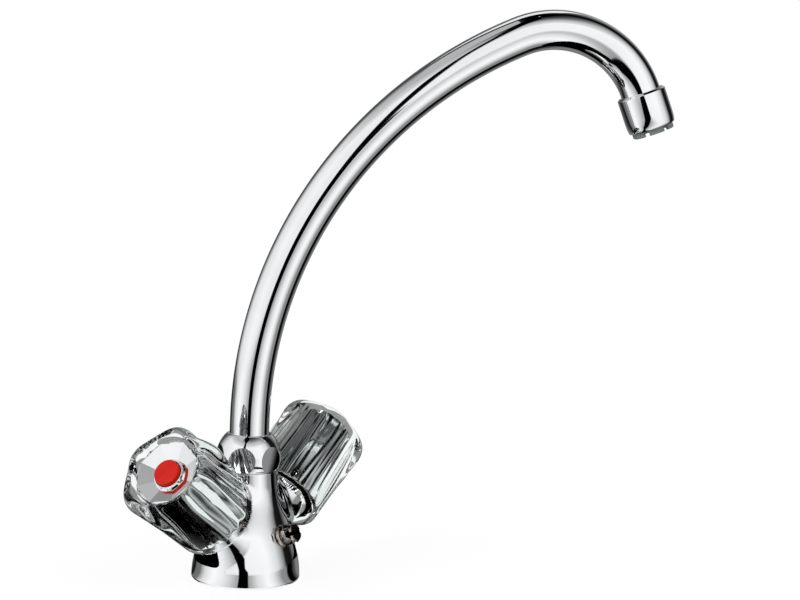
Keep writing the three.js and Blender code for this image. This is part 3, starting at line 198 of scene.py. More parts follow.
class ShaderTree(NodeTree):
    """The node tree of a material or of the world."""

    def __init__(self, owner: Union[bpy.types.Material, bpy.types.World]) -> None:
        """Empties the owner's tree.

        Args:
            owner: the material or world whose tree is built.
        """
        owner.use_nodes = True
        super().__init__(owner.node_tree)
        self.tree.nodes.clear()

    def node(
        self,
        kind: str,
        settings: Mapping[str, object] | None = None,
        values: Mapping[Union[str, int], Value] | None = None,
        output: Union[str, int] = 0,
    ) -> Socket:
        """Adds a node and gives one of its outputs.

        Args:
            kind: the node's type.
            settings: properties set first.
            values: what each input holds or is linked to, by name or index.
            output: which output is returned.

        Returns:
            The chosen output.
        """
        ports = {name: value.port if isinstance(value, Socket) else value for name, value in (values or {}).items()}
        return Socket(self, self.add(kind, settings, ports).outputs[output])

    def where(self, axes: int = 3) -> list[Socket]:
        """The piece's own coordinates, one socket for each of the first axes."""
        place = self.node("ShaderNodeTexCoord", output="Object")
        return [self.node("ShaderNodeSeparateXYZ", {}, {0: place}, axis) for axis in range(axes)]

    def noise(self, scale: float, detail: float = 2.0, roughness: float = 0.5) -> Socket:
        """Noise over the piece's own coordinates.

        Args:
            scale: features per metre.
            detail: octaves.
            roughness: how strong the finer octaves are.

        Returns:
            The noise's factor.
        """
        place = self.node("ShaderNodeTexCoord", output="Object")
        values = {"Vector": place, "Scale": scale, "Detail": detail, "Roughness": roughness}
        return self.node("ShaderNodeTexNoise", {"noise_dimensions": "3D"}, values)

    def blend(self, share: Value, first: Value, second: Value, way: str = "MIX") -> Socket:
        """Mixes two colours.

        Args:
            share: 0 gives the first, 1 the mixture with the second.
            first: a colour.
            second: a colour.
            way: how the second is put on the first.

        Returns:
            The mixed colour.
        """
        settings = {"data_type": "RGBA", "blend_type": way}
        return self.node("ShaderNodeMix", settings, {0: share, 6: first, 7: second}, 2)

    def ramp(self, degrees: Socket, tones: Tones) -> Socket:
        """Tones along an angle.

        Args:
            degrees: the angle, from -180 to 180.
            tones: angles in order, each with its grey from 0 to 255.

        Returns:
            The colour at the angle.
        """
        node = self.add("ShaderNodeValToRGB", {}, {0: (degrees * (1 / 360) + 0.5).fraction().port})
        elements = node.color_ramp.elements
        while len(elements) < len(tones):
            elements.new(1.0)
        for element, (angle, grey) in zip(elements, tones):
            element.position = (angle + 180) / 360
            element.color = tone(grey)
        return Socket(self, node.outputs[0])

    def bump(self, height: Socket, distance: float) -> Socket:
        """A normal bumped by a height from 0 to 1, where 1 stands for the distance in metres."""
        return self.node("ShaderNodeBump", {}, {"Height": height, "Distance": distance})

    def glow(self, colour: Value, strength: float) -> Socket:
        """An even glow."""
        return self.node("ShaderNodeEmission", {}, {"Color": colour, "Strength": strength})

    def seen(self) -> Socket:
        """Whether the camera, a mirror or a clear piece looks.

        Returns:
            1 for those rays, else 0.
        """
        kinds = ("Camera", "Glossy", "Transmission")
        rays = [self.node("ShaderNodeLightPath", output=f"Is {kind} Ray") for kind in kinds]
        return rays[0].most(rays[1]).most(rays[2])

    def surface(self, shader: Socket, kind: str = "ShaderNodeOutputMaterial") -> None:
        """Ends the tree with its output node, which shows the shader."""
        self.add(kind, {}, {"Surface": shader.port})


def tone(grey: float) -> tuple[float, float, float, float]:
    """The colour of a grey from 0 to 255."""
    level = (grey / 255) ** 2.2
    return (level, level, level, 1)


class GeometryTree(NodeTree):
    """A Geometry Nodes group with named inputs, and the plain mesh that it gives."""

    def __init__(self, name: str, inputs: Mapping[str, str]) -> None:
        """Starts the group.

        Args:
            name: the group's name.
            inputs: socket types by input name, without the geometry.
        """
        super().__init__(bpy.data.node_groups.new(name, "GeometryNodeTree"))
        face = self.tree.interface
        face.new_socket("Geometry", in_out="INPUT", socket_type="NodeSocketGeometry")
        self.identifiers = {
            word: face.new_socket(word, in_out="INPUT", socket_type=kind).identifier for word, kind in inputs.items()
        }
        face.new_socket("Geometry", in_out="OUTPUT", socket_type="NodeSocketGeometry")
        self.entry = self.add("NodeGroupInput").outputs

    def finish(self, geometry: bpy.types.NodeSocket, material: bpy.types.Material) -> None:
        """Realizes the instances, sets the material and ends the tree.

        Args:
            geometry: what the tree has made.
            material: the finish of all its faces.
        """
        real = self.add("GeometryNodeRealizeInstances", {}, {0: geometry})
        dressed = self.add("GeometryNodeSetMaterial", {}, {"Geometry": real.outputs[0], "Material": material})
        self.add("NodeGroupOutput", {}, {0: dressed.outputs[0]})

    def apply(self, obj: bpy.types.Object, values: Mapping[str, object]) -> None:
        """Replaces an object's mesh by what the tree makes of it.

        Args:
            obj: the object whose mesh is the tree's geometry.
            values: the named inputs.
        """
        modifier = obj.modifiers.new("nodes", "NODES")
        modifier.node_group = self.tree
        for word, value in values.items():
            modifier[self.identifiers[word]] = value
        bake_modifiers(obj)


def bake_modifiers(obj: bpy.types.Object) -> None:
    """Turns an object's live modifiers into a plain mesh.

    Args:
        obj: the object; its modifiers are removed.
    """
    graph = bpy.context.evaluated_depsgraph_get()
    graph.update()
    old = obj.data
    mesh = bpy.data.meshes.new_from_object(obj.evaluated_get(graph), depsgraph=graph)
    obj.modifiers.clear()
    obj.data = mesh
    mesh.name = obj.name
    bpy.data.meshes.remove(old)


def ring_of(obj: bpy.types.Object, count: int, material: bpy.types.Material, place: Matrix) -> bpy.types.Object:
    """Repeats an object's mesh evenly about its frame's Z, then puts the ring in its place.

    Args:
        obj: the object, modelled in the ring's own frame; its mesh becomes the whole ring.
        count: how many copies.
        material: the finish of the ring.
        place: the ring's frame.

    Returns:
        The object.
    """
    tree = GeometryTree("evenly_round", {"Count": "NodeSocketInt", "Step": "NodeSocketFloat"})
    entry = tree.entry
    points = tree.add("GeometryNodeMeshLine", {"mode": "OFFSET"}, {"Count": entry["Count"], "Offset": (0.0, 0.0, 0.0)})
    index = tree.add("GeometryNodeInputIndex").outputs[0]
    angle = tree.add("ShaderNodeMath", {"operation": "MULTIPLY"}, {0: index, 1: entry["Step"]}).outputs[0]
    turn = tree.add("FunctionNodeAxisAngleToRotation", {}, {"Axis": (0.0, 0.0, 1.0), "Angle": angle}).outputs[0]
    values = {"Points": points.outputs[0], "Instance": entry["Geometry"], "Rotation": turn}
    copies = tree.add("GeometryNodeInstanceOnPoints", {}, values)
    tree.finish(copies.outputs[0], material)
    tree.apply(obj, {"Count": count, "Step": 2 * math.pi / count})
    obj.data.transform(TO_METRES @ place @ TO_MILLIMETRES)
    return obj


# ---------------------------------------------------------------- mesh helpers


def shares(steps: int, start: int = 0) -> list[float]:
    """Even shares of a stretch, up to 1, that start at a step."""
    return [step / steps for step in range(start, steps + 1)]


def circle(radius: float, steps: int, x: float = 0.0, y: float = 0.0) -> list[Point]:
    """The corners of a circle about a place."""
    turns = [2 * math.pi * step / steps for step in range(steps)]
    return [(x + radius * math.cos(turn), y + radius * math.sin(turn)) for turn in turns]


def rectangle(length: float, width: float) -> list[Point]:
    """The corners of a rectangle about the origin, given by half its length and half its width."""
    return [(-length, -width), (length, -width), (length, width), (-length, width)]


def arc(centre: Point, radius: float, start: float, end: float, steps: int) -> list[Point]:
    """Points of a circular arc.

    Args:
        centre: its middle.
        radius: its radius.
        start: first angle, in degrees.
        end: last angle, in degrees.
        steps: how many chords.

    Returns:
        The points in order.
    """
    angles = [math.radians(start + (end - start) * share) for share in shares(steps)]
    return [(centre[0] + radius * math.cos(a), centre[1] + radius * math.sin(a)) for a in angles]


def rounded(outline: Sequence[Point], radius: float, steps: int = 4) -> list[Point]:
    """Rounds off the corners of an outline.

    Args:
        outline: corners, [radius, height], that run round a closed outline.
        radius: of the rounding, smaller where a side is too short for it.
        steps: chords in each rounding.

    Returns:
        The rounded outline; a corner on the axis, or one that hardly turns, stays as it is.
    """
    nearly_straight, most_of_a_side = math.radians(82), 0.45
    result: list[Point] = []
    for i, corner in enumerate(outline):
        here = Vector(corner)
        before, after = Vector(outline[i - 1]) - here, Vector(outline[(i + 1) % len(outline)]) - here
        half = before.angle(after) / 2 if corner[0] > ON_AXIS else math.pi
        if half > nearly_straight:
            result.append(corner)
            continue
        reach = min(radius / math.tan(half), before.length * most_of_a_side, after.length * most_of_a_side)
        start, end = here + before.normalized() * reach, here + after.normalized() * reach
        curve = [start * (1 - t) ** 2 + here * 2 * t * (1 - t) + end * t**2 for t in shares(steps)]
        result += [(spot.x, spot.y) for spot in curve]
    return result


def mesh_object(
    name: str, bm: bmesh.types.BMesh, place: Matrix = UPRIGHT, smooth: float = SHARP_ANGLE
) -> bpy.types.Object:
    """Makes an object from a bmesh in millimetres.

    Args:
        name: the object's name.
        bm: the mesh, which is freed.
        place: where the mesh's own frame lies in the part, in millimetres.
        smooth: edges sharper than this stay creased.

    Returns:
        The object, untransformed, with its place in its mesh.
    """
    bmesh.ops.remove_doubles(bm, verts=bm.verts, dist=1e-5)
    bmesh.ops.recalc_face_normals(bm, faces=bm.faces)
    bm.transform(TO_METRES @ place)
    mesh = bpy.data.meshes.new(name)
    bm.to_mesh(mesh)
    bm.free()
    mesh.shade_smooth()
    mesh.set_sharp_from_angle(angle=smooth)
    obj = bpy.data.objects.new(name, mesh)
    bpy.context.scene.collection.objects.link(obj)
    return obj


def add_rows(bm: bmesh.types.BMesh, rows: Iterable[Sequence[Vector]], closed: bool) -> None:
    """Joins rings of points with faces.

    Args:
        bm: the mesh that takes them.
        rows: the rings, each with the same number of points; one point makes a pole.
        closed: True where the last ring joins the first.
    """
    loops = [[bm.verts.new(point) for point in row] for row in rows]
    pairs = list(zip(loops, loops[1:]))
    if closed:
        pairs.append((loops[-1], loops[0]))
    for low, high in pairs:
        count = max(len(low), len(high))
        for i in range(count):
            j = (i + 1) % count
            corners = [low[i % len(low)], low[j % len(low)], high[j % len(high)], high[i % len(high)]]
            unique = list(dict.fromkeys(corners))
            if len(unique) > 2:
                bm.faces.new(unique)


def revolved(
    name: str, outline: Sequence[Point], place: Matrix, segments: int = 96, closed: bool = True
) -> bpy.types.Object:
    """A body of revolution about its own Z.

    Args:
        name: the object's name.
        outline: [radius, height] points; with closed they run round a ring.
        place: its frame.
        segments: facets per turn.
        closed: False where the outline starts and ends on the axis.

    Returns:
        The object.
    """
    bm = bmesh.new()
    rows = (
        [Vector((x, y, height)) for x, y in (circle(radius, segments) if radius > ON_AXIS else [(0, 0)])]
        for radius, height in outline
    )
    add_rows(bm, rows, closed)
    return mesh_object(name, bm, place)


def block(
    name: str, lower: Sequence[Spot], upper: Sequence[Spot], place: Matrix = UPRIGHT, smooth: float = SHARP_ANGLE
) -> bpy.types.Object:
    """A solid between two outlines with as many corners each.

    Args:
        name: the object's name.
        lower: the corners of one end.
        upper: the corners of the other.
        place: its frame.
        smooth: edges sharper than this stay creased.

    Returns:
        The object.
    """
    bm = bmesh.new()
    ends = [[bm.verts.new(corner) for corner in outline] for outline in (lower, upper)]
    for end in ends:
        bm.faces.new(end)
    for i in range(len(lower)):
        j = (i + 1) % len(lower)
        bm.faces.new((ends[0][i], ends[0][j], ends[1][j], ends[1][i]))
    return mesh_object(name, bm, place, smooth)


def prism(
    name: str, corners: Sequence[Point], low: float, high: float, place: Matrix = UPRIGHT
) -> bpy.types.Object:
    """An upright prism.

    Args:
        name: the object's name.
        corners: its outline in its own X-Y plane.
        low: its lower face.
        high: its upper face.
        place: its frame.

    Returns:
        The object.
    """
    return block(name, [(x, y, low) for x, y in corners], [(x, y, high) for x, y in corners], place)


def cut_away(obj: bpy.types.Object, tools: Iterable[bpy.types.Object], operation: str = "DIFFERENCE") -> None:
    """Cuts or joins solids, and removes the tools.

    Args:
        obj: the solid that is changed.
        tools: the solids that cut it.
        operation: the modifier's operation.
    """
    for tool in tools:
        modifier = obj.modifiers.new("cut", "BOOLEAN")
        modifier.operation, modifier.solver, modifier.object = operation, "EXACT", tool
    bake_modifiers(obj)
    for tool in tools:
        bpy.data.objects.remove(tool)


def bevelled(obj: bpy.types.Object, width: float, segments: int, angle: float) -> None:
    """Rounds an object's sharp edges.

    Args:
        obj: the object.
        width: of the bevel, in millimetres.
        segments: how many strips.
        angle: edges sharper than this are bevelled, in degrees.
    """
    modifier = obj.modifiers.new("edges", "BEVEL")
    modifier.width = width * MM
    modifier.segments = segments
    modifier.limit_method = "ANGLE"
    modifier.angle_limit = math.radians(angle)
    modifier.use_clamp_overlap = True
    bake_modifiers(obj)
    obj.data.shade_smooth()
    obj.data.set_sharp_from_angle(angle=math.radians(40))


def join_meshes(main: bpy.types.Object, other: bpy.types.Object) -> None:
    """Adds another object's mesh to the main one and removes the other.

    Args:
        main: the object that stays.
        other: the object that goes.
    """
    bm = bmesh.new()
    bm.from_mesh(main.data)
    bm.from_mesh(other.data)
    bm.to_mesh(main.data)
    bm.free()
    mesh = other.data
    bpy.data.objects.remove(other)
    bpy.data.meshes.remove(mesh)


# ---------------------------------------------------------------- finishes


@dataclass(frozen=True)
class Finish:
    """What every finish has: its name and the two colours that it wanders between."""

    name: str
    colour: Colour
    shade: Colour

    def build(self) -> bpy.types.Material:
        """Makes the material.

        Returns:
            The material.
        """
        material = bpy.data.materials.new(self.name)
        tree = ShaderTree(material)
        tree.surface(tree.node("ShaderNodeBsdfPrincipled", {}, self.values(tree)))
        return material

    def mottled(self, tree: ShaderTree, share: Socket) -> Socket:
        """The colour where the shade has its share."""
        return tree.blend(share, (*self.colour, 1), (*self.shade, 1))

    def values(self, tree: ShaderTree) -> dict[str, Value]:
        """What the shader's inputs hold; each finish gives its own."""
        raise NotImplementedError


@dataclass(frozen=True)
class Metal(Finish):
    """A polished or plated metal: even colour, faint haze and wiping marks in its gloss."""

    roughness: float
    haze: float = 0.03
    ripple: float = 1e-6

    def values(self, tree: ShaderTree) -> dict[str, Value]:
        """What the shader's inputs hold.

        Args:
            tree: the material's tree.

        Returns:
            The inputs by name.
        """
        cloud = tree.noise(38, 3, 0.55)
        fine = tree.noise(900)
        return {
            "Base Color": self.mottled(tree, cloud.above(0.55, 0.35)),
            "Metallic": 1.0,
            "Roughness": cloud.above(0.62, 0.3) * self.haze + self.roughness + fine * (self.haze * 0.25),
            "Normal": tree.bump(tree.noise(160, 1), self.ripple),
        }


@dataclass(frozen=True)
class ClearAcrylic(Finish):
    """Clear moulded acrylic with faint flow lines and a little dust haze."""

    index: float = 1.18

    def values(self, tree: ShaderTree) -> dict[str, Value]:
        """What the shader's inputs hold.

        Args:
            tree: the material's tree.

        Returns:
            The inputs by name.
        """
        flow = tree.noise(45)
        return {
            "Base Color": self.mottled(tree, flow.above(0.5, 0.6)),
            "Roughness": tree.noise(2200, 1).above(0.7, 0.15) * 0.02 + 0.002,
            "IOR": self.index,
            "Transmission Weight": 1.0,
            "Normal": tree.bump(flow, 6e-6),
        }


@dataclass(frozen=True)
class Plastic(Finish):
    """Moulded plastic or enamel: slight mottling, a moulded texture and fine scratches in the gloss."""

    roughness: float
    grain: float = 1e-5

    def values(self, tree: ShaderTree) -> dict[str, Value]:
        """What the shader's inputs hold.

        Args:
            tree: the material's tree.

        Returns:
            The inputs by name.
        """
        fine = tree.noise(2600)
        return {
            "Base Color": self.mottled(tree, tree.noise(260, 3).above(0.5, 0.4)),
            "Roughness": (fine - 0.5) * 0.12 + self.roughness,
            "Normal": tree.bump(fine, self.grain),
            "Specular IOR Level": 0.15,
        }


class Finishes:
    """Every finish of the faucet, made once."""

    def __init__(self) -> None:
        """Builds the materials."""
        self.chrome = Metal("polished_chrome", (0.93, 0.94, 0.95), (0.88, 0.89, 0.90), 0.035).build()
        self.dark_nickel = Metal("dark_nickel", (0.44, 0.40, 0.36), (0.30, 0.27, 0.24), 0.06, 0.06, 4e-6).build()
        self.brass = Metal("turned_brass", (0.83, 0.66, 0.33), (0.62, 0.45, 0.20), 0.24, 0.15, 1.5e-5).build()
        self.steel = Metal("stainless_steel", (0.72, 0.72, 0.73), (0.58, 0.58, 0.59), 0.22, 0.10, 8e-6).build()
        self.crystal = ClearAcrylic("clear_acrylic", (0.955, 0.985, 0.975), (0.92, 0.96, 0.95)).build()
        self.red = Plastic("red_enamel", (0.58, 0.013, 0.004), (0.50, 0.010, 0.004), 0.34, 4e-6).build()
        self.blue = Plastic("blue_enamel", (0.02, 0.09, 0.36), (0.015, 0.07, 0.30), 0.34, 4e-6).build()
        self.grey = Plastic("grey_plastic", (0.17, 0.19, 0.185), (0.13, 0.15, 0.145), 0.42).build()
        self.white = Plastic("white_nylon", (0.80, 0.80, 0.77), (0.74, 0.74, 0.70), 0.45).build()
        self.rubber = Plastic("black_rubber", (0.018, 0.018, 0.018), (0.03, 0.029, 0.028), 0.72, 3e-5).build()


# ---------------------------------------------------------------- sub-assemblies


@dataclass
class Assembly:
    """What every sub-assembly shares: the frame's nodes, the finishes and the way a piece is put in."""

    nodes: Mapping[str, bpy.types.Object]
    finishes: Finishes

    def put(
        self, obj: bpy.types.Object, body: str, slot: str, material: bpy.types.Material, *replaced: str
    ) -> None:
        """Dresses a piece and hands it to the frame.

        Args:
            obj: the piece.
            body: the body that it rides on.
            slot: not used.
            material: its finish.
            *replaced: the nodes that it stands for.
        """
        obj.data.materials.clear()
        obj.data.materials.append(material)
        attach(obj, body)
        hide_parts(*replaced)
        LOG.info("%s rides on %s", obj.name, body)

    def dress(self, material: bpy.types.Material, *names: str) -> None:
        """Gives nodes of the frame their finish.

        Args:
            material: the finish.
            *names: the nodes.
        """
        for name in names:
            for slot in self.nodes[name].material_slots:
                slot.material = material


@dataclass
class Arm:
    """The frame of an arm, whose +Z points out of it."""

    tilt: float = 35
    origin_height: float = 15.5

    def place(self, side: Side, turn: float = 0.0) -> Matrix:
        """The frame of one side.

        Args:
            side: which arm.
            turn: of the frame about its own Z, in degrees.

        Returns:
            The matrix, in millimetres.
        """
        tip = Matrix.Rotation(side.value * math.radians(90 - self.tilt), 4, "Y")
        turned = Matrix.Rotation(math.radians(turn), 4, "Z")
        return Matrix.Translation((0, 0, self.origin_height)) @ tip @ turned


@dataclass(frozen=True)
class Ring:
    """A ring that a rim is led to: at a radius, or else drawn in by a step from the rim's own."""

    station: float
    radius: float | None = None
    step_in: float = 0.0

    def size(self, own: float) -> float:
        """The ring's radius where the rim's own is given."""
        return own - self.step_in if self.radius is None else self.radius


@dataclass
class Casting(Assembly):
    """The body: base, column and two arms as one blended skin, with its rims and bores."""

    arm: Arm = field(default_factory=Arm)
    base_radius: float = 25
    band_height: float = 7
    column_radius: float = 13.5
    column_height: float = 50.4
    waist_power: float = 0.75
    band_softness: float = 0.16
    blend_radius: float = 9
    neck_radius: float = 11.7
    neck_station: float = 21
    root_radius: float = 14
    bell_radius: float = 14
    end_station: float = 33
    end_spare: float = 3
    valve_bore: float = 9.9
    valve_bore_depth: float = 10
    socket_bore: float = 10
    socket_depth: float = 8
    collar_wall: float = 1.5
    collar_height: float = 7
    chamfer: float = 0.4
    middle_height: float = 24
    turn_steps: int = 300
    rise_steps: int = 250
    rise_range: tuple[float, float] = (-50, 69)
    ray_halvings: int = 44
    crowding: float = 0.2
    base_rounding: float = 1.3
    rim_rounding: float = 0.7
    groove_inner: float = 20.4
    groove_outer: float = 23.6
    groove_depth: float = 1.8
    inlet_spread: float = 18
    inlet_setback: float = 4
    inlet_radius: float = 4.6
    stud_setback: float = 12
    stud_radius: float = 3.4
    bore_depth: float = 12

    def column(self, height: np.ndarray) -> np.ndarray:
        """The column without the arms.

        Args:
            height: above the deck.

        Returns:
            Its radius there.
        """
        share = (height - self.band_height) / (self.column_height - self.band_height)
        share = np.clip((share + np.hypot(share, self.band_softness)) / 2, 0, 1)
        drawn = (1 + np.cos(np.pi * share**self.waist_power)) / 2
        return self.column_radius + (self.base_radius - self.column_radius) * drawn

    def trumpet(self, station: np.ndarray) -> np.ndarray:
        """An arm, which opens both ways from its neck.

        Args:
            station: along the arm.

        Returns:
            Its radius there.
        """
        outward = np.clip((station - self.neck_station) / (self.end_station - self.neck_station), 0, None)
        inward = np.clip(1 - station / self.neck_station, 0, None)
        bell = (self.bell_radius - self.neck_radius) * outward**2
        root = (self.root_radius - self.neck_radius) * inward**2
        return self.neck_radius + bell + root

    def distance(self, points: np.ndarray) -> np.ndarray:
        """Distance from the blended skin, with its ends left long.

        Args:
            points: an array of places.

        Returns:
            The distances, negative inside.
        """
        x, y, z = points.T
        gap = np.hypot(x, y) - self.column(z)
        past = np.maximum(z - self.column_height, -z) - self.end_spare
        tilt = math.radians(self.arm.tilt)
        for side in Side:
            lift = z - self.arm.origin_height
            along = side.value * x * math.cos(tilt) + lift * math.sin(tilt)
            across = side.value * x * math.sin(tilt) - lift * math.cos(tilt)
            reach = np.maximum(along, 0)
            off = np.sqrt(across**2 + y**2 + (along - reach) ** 2) - self.trumpet(reach)
            overlap = np.maximum(self.blend_radius - np.abs(gap - off), 0) / self.blend_radius
            gap = np.minimum(gap, off) - overlap**2 * self.blend_radius / 4
            past = np.maximum(past, along - self.end_station - self.end_spare)
        return np.maximum(gap, past)

    def skin(self) -> bmesh.types.BMesh:
        """The blended skin, found along rays from its middle.

        Returns:
            The skin, which runs past every rim.
        """
        azimuth = np.linspace(0, 2 * np.pi, self.turn_steps, endpoint=False)
        azimuth = azimuth - self.crowding * np.sin(2 * azimuth)
        low, high = self.rise_range
        rise = np.radians(np.linspace(low, high, self.rise_steps + 1))[:, None]
        rays = [np.cos(rise) * np.cos(azimuth), np.cos(rise) * np.sin(azimuth), np.sin(rise) + 0 * azimuth]
        rays = np.stack(rays, -1).reshape(-1, 3)
        middle = np.array([0, 0, self.middle_height])
        inside = np.zeros(len(rays))
        outside = np.full(len(rays), 3.0 * self.column_height)
        for _ in range(self.ray_halvings):
            reach = (inside + outside) / 2
            within = self.distance(middle + rays * reach[:, None]) < 0
            inside = np.where(within, reach, inside)
            outside = np.where(within, outside, reach)
        points = (middle + rays * inside[:, None]).reshape(self.rise_steps + 1, self.turn_steps, 3)
        bm = bmesh.new()
        add_rows(bm, [[Vector(point) for point in row] for row in points], closed=False)
        return bm

    @staticmethod
    def trim(bm: bmesh.types.BMesh, place: Matrix, station: float) -> None:
        """Cuts the skin square to an axis and drops what lies beyond.

        Args:
            bm: the skin.
            place: the frame whose +Z is the axis.
            station: where the cut is.
        """
        cut = {"plane_co": place @ Vector((0, 0, station)), "plane_no": place.to_3x3() @ Vector((0, 0, 1))}
        bmesh.ops.bisect_plane(bm, geom=bm.verts[:] + bm.edges[:] + bm.faces[:], dist=1e-5, clear_outer=True, **cut)

    @staticmethod
    def lead(bm: bmesh.types.BMesh, edges: Edges, place: Matrix, rings: Iterable[Ring]) -> Edges:
        """Carries a rim on through further rings.

        Args:
            bm: the mesh.
            edges: the rim.
            place: the frame whose +Z is the rim's axis.
            rings: where it goes.

        Returns:
            The edges of the last ring.
        """
        back = place.inverted()
        flat = {vert: (back @ vert.co).xy for edge in edges for vert in edge.verts}
        for ring in rings:
            made = bmesh.ops.extrude_edge_only(bm, edges=edges)["geom"]
            fresh = {}
            for vert in (item for item in made if isinstance(item, bmesh.types.BMVert)):
                others = [edge.other_vert(vert) for edge in vert.link_edges]
                fresh[vert] = next(flat[other] for other in others if other in flat)
                spot = fresh[vert].normalized() * ring.size(fresh[vert].length)
                vert.co = place @ Vector((spot.x, spot.y, ring.station))
            flat = fresh
            edges = [item for item in made if isinstance(item, bmesh.types.BMEdge) and len(item.link_faces) == 1]
        return edges

    @staticmethod
    def rounding(station: float, size: float, steps: int = 5) -> list[Ring]:
        """The rings that round a rim over towards its flat face.

        Args:
            station: where the skin stops.
            size: the rounding, positive along +Z.
            steps: how many rings.

        Returns:
            The rings.
        """
        turns = [math.pi / 2 * share for share in shares(steps, 1)]
        return [Ring(station + size * math.sin(t), step_in=abs(size) * (1 - math.cos(t))) for t in turns]

    def underside(self, bm: bmesh.types.BMesh, rim: Edges) -> None:
        """Fills the base inside its gasket groove, with the holes for the hoses and the stud.

        Args:
            bm: the mesh.
            rim: the inner edge of the groove.
        """
        holes = [(side.value * self.inlet_spread / 2, self.inlet_setback, self.inlet_radius) for side in Side]
        holes.append((0, -self.stud_setback, self.stud_radius))
        bores = []
        for x, y, radius in holes:
            place = Matrix.Translation((x, y, 0))
            verts = bmesh.ops.create_circle(bm, segments=40, radius=radius, matrix=place)["verts"]
            edges = list({edge for vert in verts for edge in vert.link_edges})
            cone = Ring(self.bore_depth + radius / 2, 0.0)
            bores.append((edges, place, (Ring(self.bore_depth), cone)))
        every_edge = rim + [edge for edges, _, _ in bores for edge in edges]
        bmesh.ops.triangle_fill(bm, use_beauty=True, edges=every_edge)
        for bore in bores:
            self.lead(bm, *bore)

    def find_rims(self, bm: bmesh.types.BMesh) -> dict[str, Edges]:
        """Sorts the open edges of the trimmed skin by the rim that they belong to.

        Args:
            bm: the trimmed skin.

        Returns:
            The edges of each rim, by its name.
        """
        rims: dict[str, Edges] = {"top": [], "base": [], "hot": [], "cold": []}
        backs = {side.word: self.arm.place(side).inverted() for side in Side}
        near = 0.01
        for edge in bm.edges:
            if len(edge.link_faces) != 1:
                continue
            spot = (edge.verts[0].co + edge.verts[1].co) / 2
            end = self.end_station - self.rim_rounding - near
            words = [word for word, back in backs.items() if (back @ spot).z > end]
            if spot.z < self.base_rounding + near:
                rims["base"].append(edge)
            elif spot.z > self.column_height - self.rim_rounding / 2 - near:
                rims["top"].append(edge)
            elif words:
                rims[words[0]].append(edge)
        return rims

    def build(self) -> None:
        """Makes the casting and its collar, and hands them to the frame."""
        bm = self.skin()
        places = {side.word: self.arm.place(side) for side in Side}
        top, end = self.column_height - self.rim_rounding / 2, self.end_station - self.rim_rounding
        self.trim(bm, UPRIGHT, top)
        self.trim(bm, Matrix.Rotation(math.pi, 4, "X"), -self.base_rounding)
        for place in places.values():
            self.trim(bm, place, end)
        rims = self.find_rims(bm)
        collar, chamfer, bore = self.socket_bore + self.collar_wall, self.chamfer, self.socket_bore
        collar_top, floor = self.column_height + self.collar_height, self.column_height - self.socket_depth
        rings = [Ring(self.column_height, collar), Ring(collar_top - chamfer, collar)]
        rings += [Ring(collar_top, collar - chamfer), Ring(collar_top, bore), Ring(floor, bore), Ring(floor, 0.0)]
        self.lead(bm, rims["top"], UPRIGHT, self.rounding(top, self.rim_rounding / 2) + rings)
        bore, floor = self.valve_bore, self.end_station - self.valve_bore_depth
        rings = [Ring(self.end_station, bore + chamfer), Ring(self.end_station - chamfer, bore)]
        rings += [Ring(floor, bore), Ring(floor, 0.0)]
        for word, place in places.items():
            self.lead(bm, rims[word], place, self.rounding(end, self.rim_rounding) + rings)
        rings = [Ring(0.0, self.groove_outer), Ring(self.groove_depth, self.groove_outer)]
        rings += [Ring(self.groove_depth, self.groove_inner), Ring(0.0, self.groove_inner)]
        rings = self.rounding(self.base_rounding, -self.base_rounding) + rings
        self.underside(bm, self.lead(bm, rims["base"], UPRIGHT, rings))
        casting = mesh_object("chromed_casting", bm)
        self.put(casting, "tap_body", "chrome", self.finishes.chrome, "body_casting")
        self.dress(self.finishes.rubber, "base_gasket")
        self.dress(self.finishes.white, "spout_slip_ring")


@dataclass
class SpoutNut(Assembly):
    """The ball nut under the spout, with six flats that come out as circles."""

    ball_radius: float = 14.8
    ball_height: float = 56.3
    foot: float = 50.7
    foot_edge: float = 0.8
    foot_step: float = 0.7
    top: float = 66.82
    across_flats: float = 27
    flats: int = 6
    flat_reach: float = 7.5
    turn: float = 23
    bore: float = 9.3
    bore_chamfer: float = 0.5
    cavity: float = 11.8
    cavity_top: float = 61.9
    edge: float = 0.35

    def build(self) -> None:
        """Makes the nut and hands it to the frame."""
        heights = (self.foot + self.foot_edge, self.top)
        angles = [math.degrees(math.asin((z - self.ball_height) / self.ball_radius)) for z in heights]
        ball = arc((0.0, self.ball_height), self.ball_radius, *angles, 40)
        outline = [(self.cavity, self.foot), (ball[0][0] - self.foot_step, self.foot), *ball]
        outline += [(self.bore + self.bore_chamfer, self.top), (self.bore, self.top - self.bore_chamfer)]
        outline += [(self.bore, self.cavity_top), (self.cavity, self.cavity_top)]
        place = Matrix.Rotation(math.radians(self.turn), 4, "Z")
        nut = revolved("ball_nut", outline, place, 128)
        facing = Matrix.Translation((self.across_flats / 2, 0, self.ball_height)) @ Matrix.Rotation(math.pi / 2, 4, "Y")
        cutter = prism("nut_flat", rectangle(self.flat_reach, self.flat_reach), 0, self.ball_radius, facing)
        cut_away(nut, [ring_of(cutter, self.flats, self.finishes.chrome, place)])
        bevelled(nut, self.edge, 3, 14)
        self.put(nut, "tap_body", "chrome", self.finishes.chrome, "spout_nut")


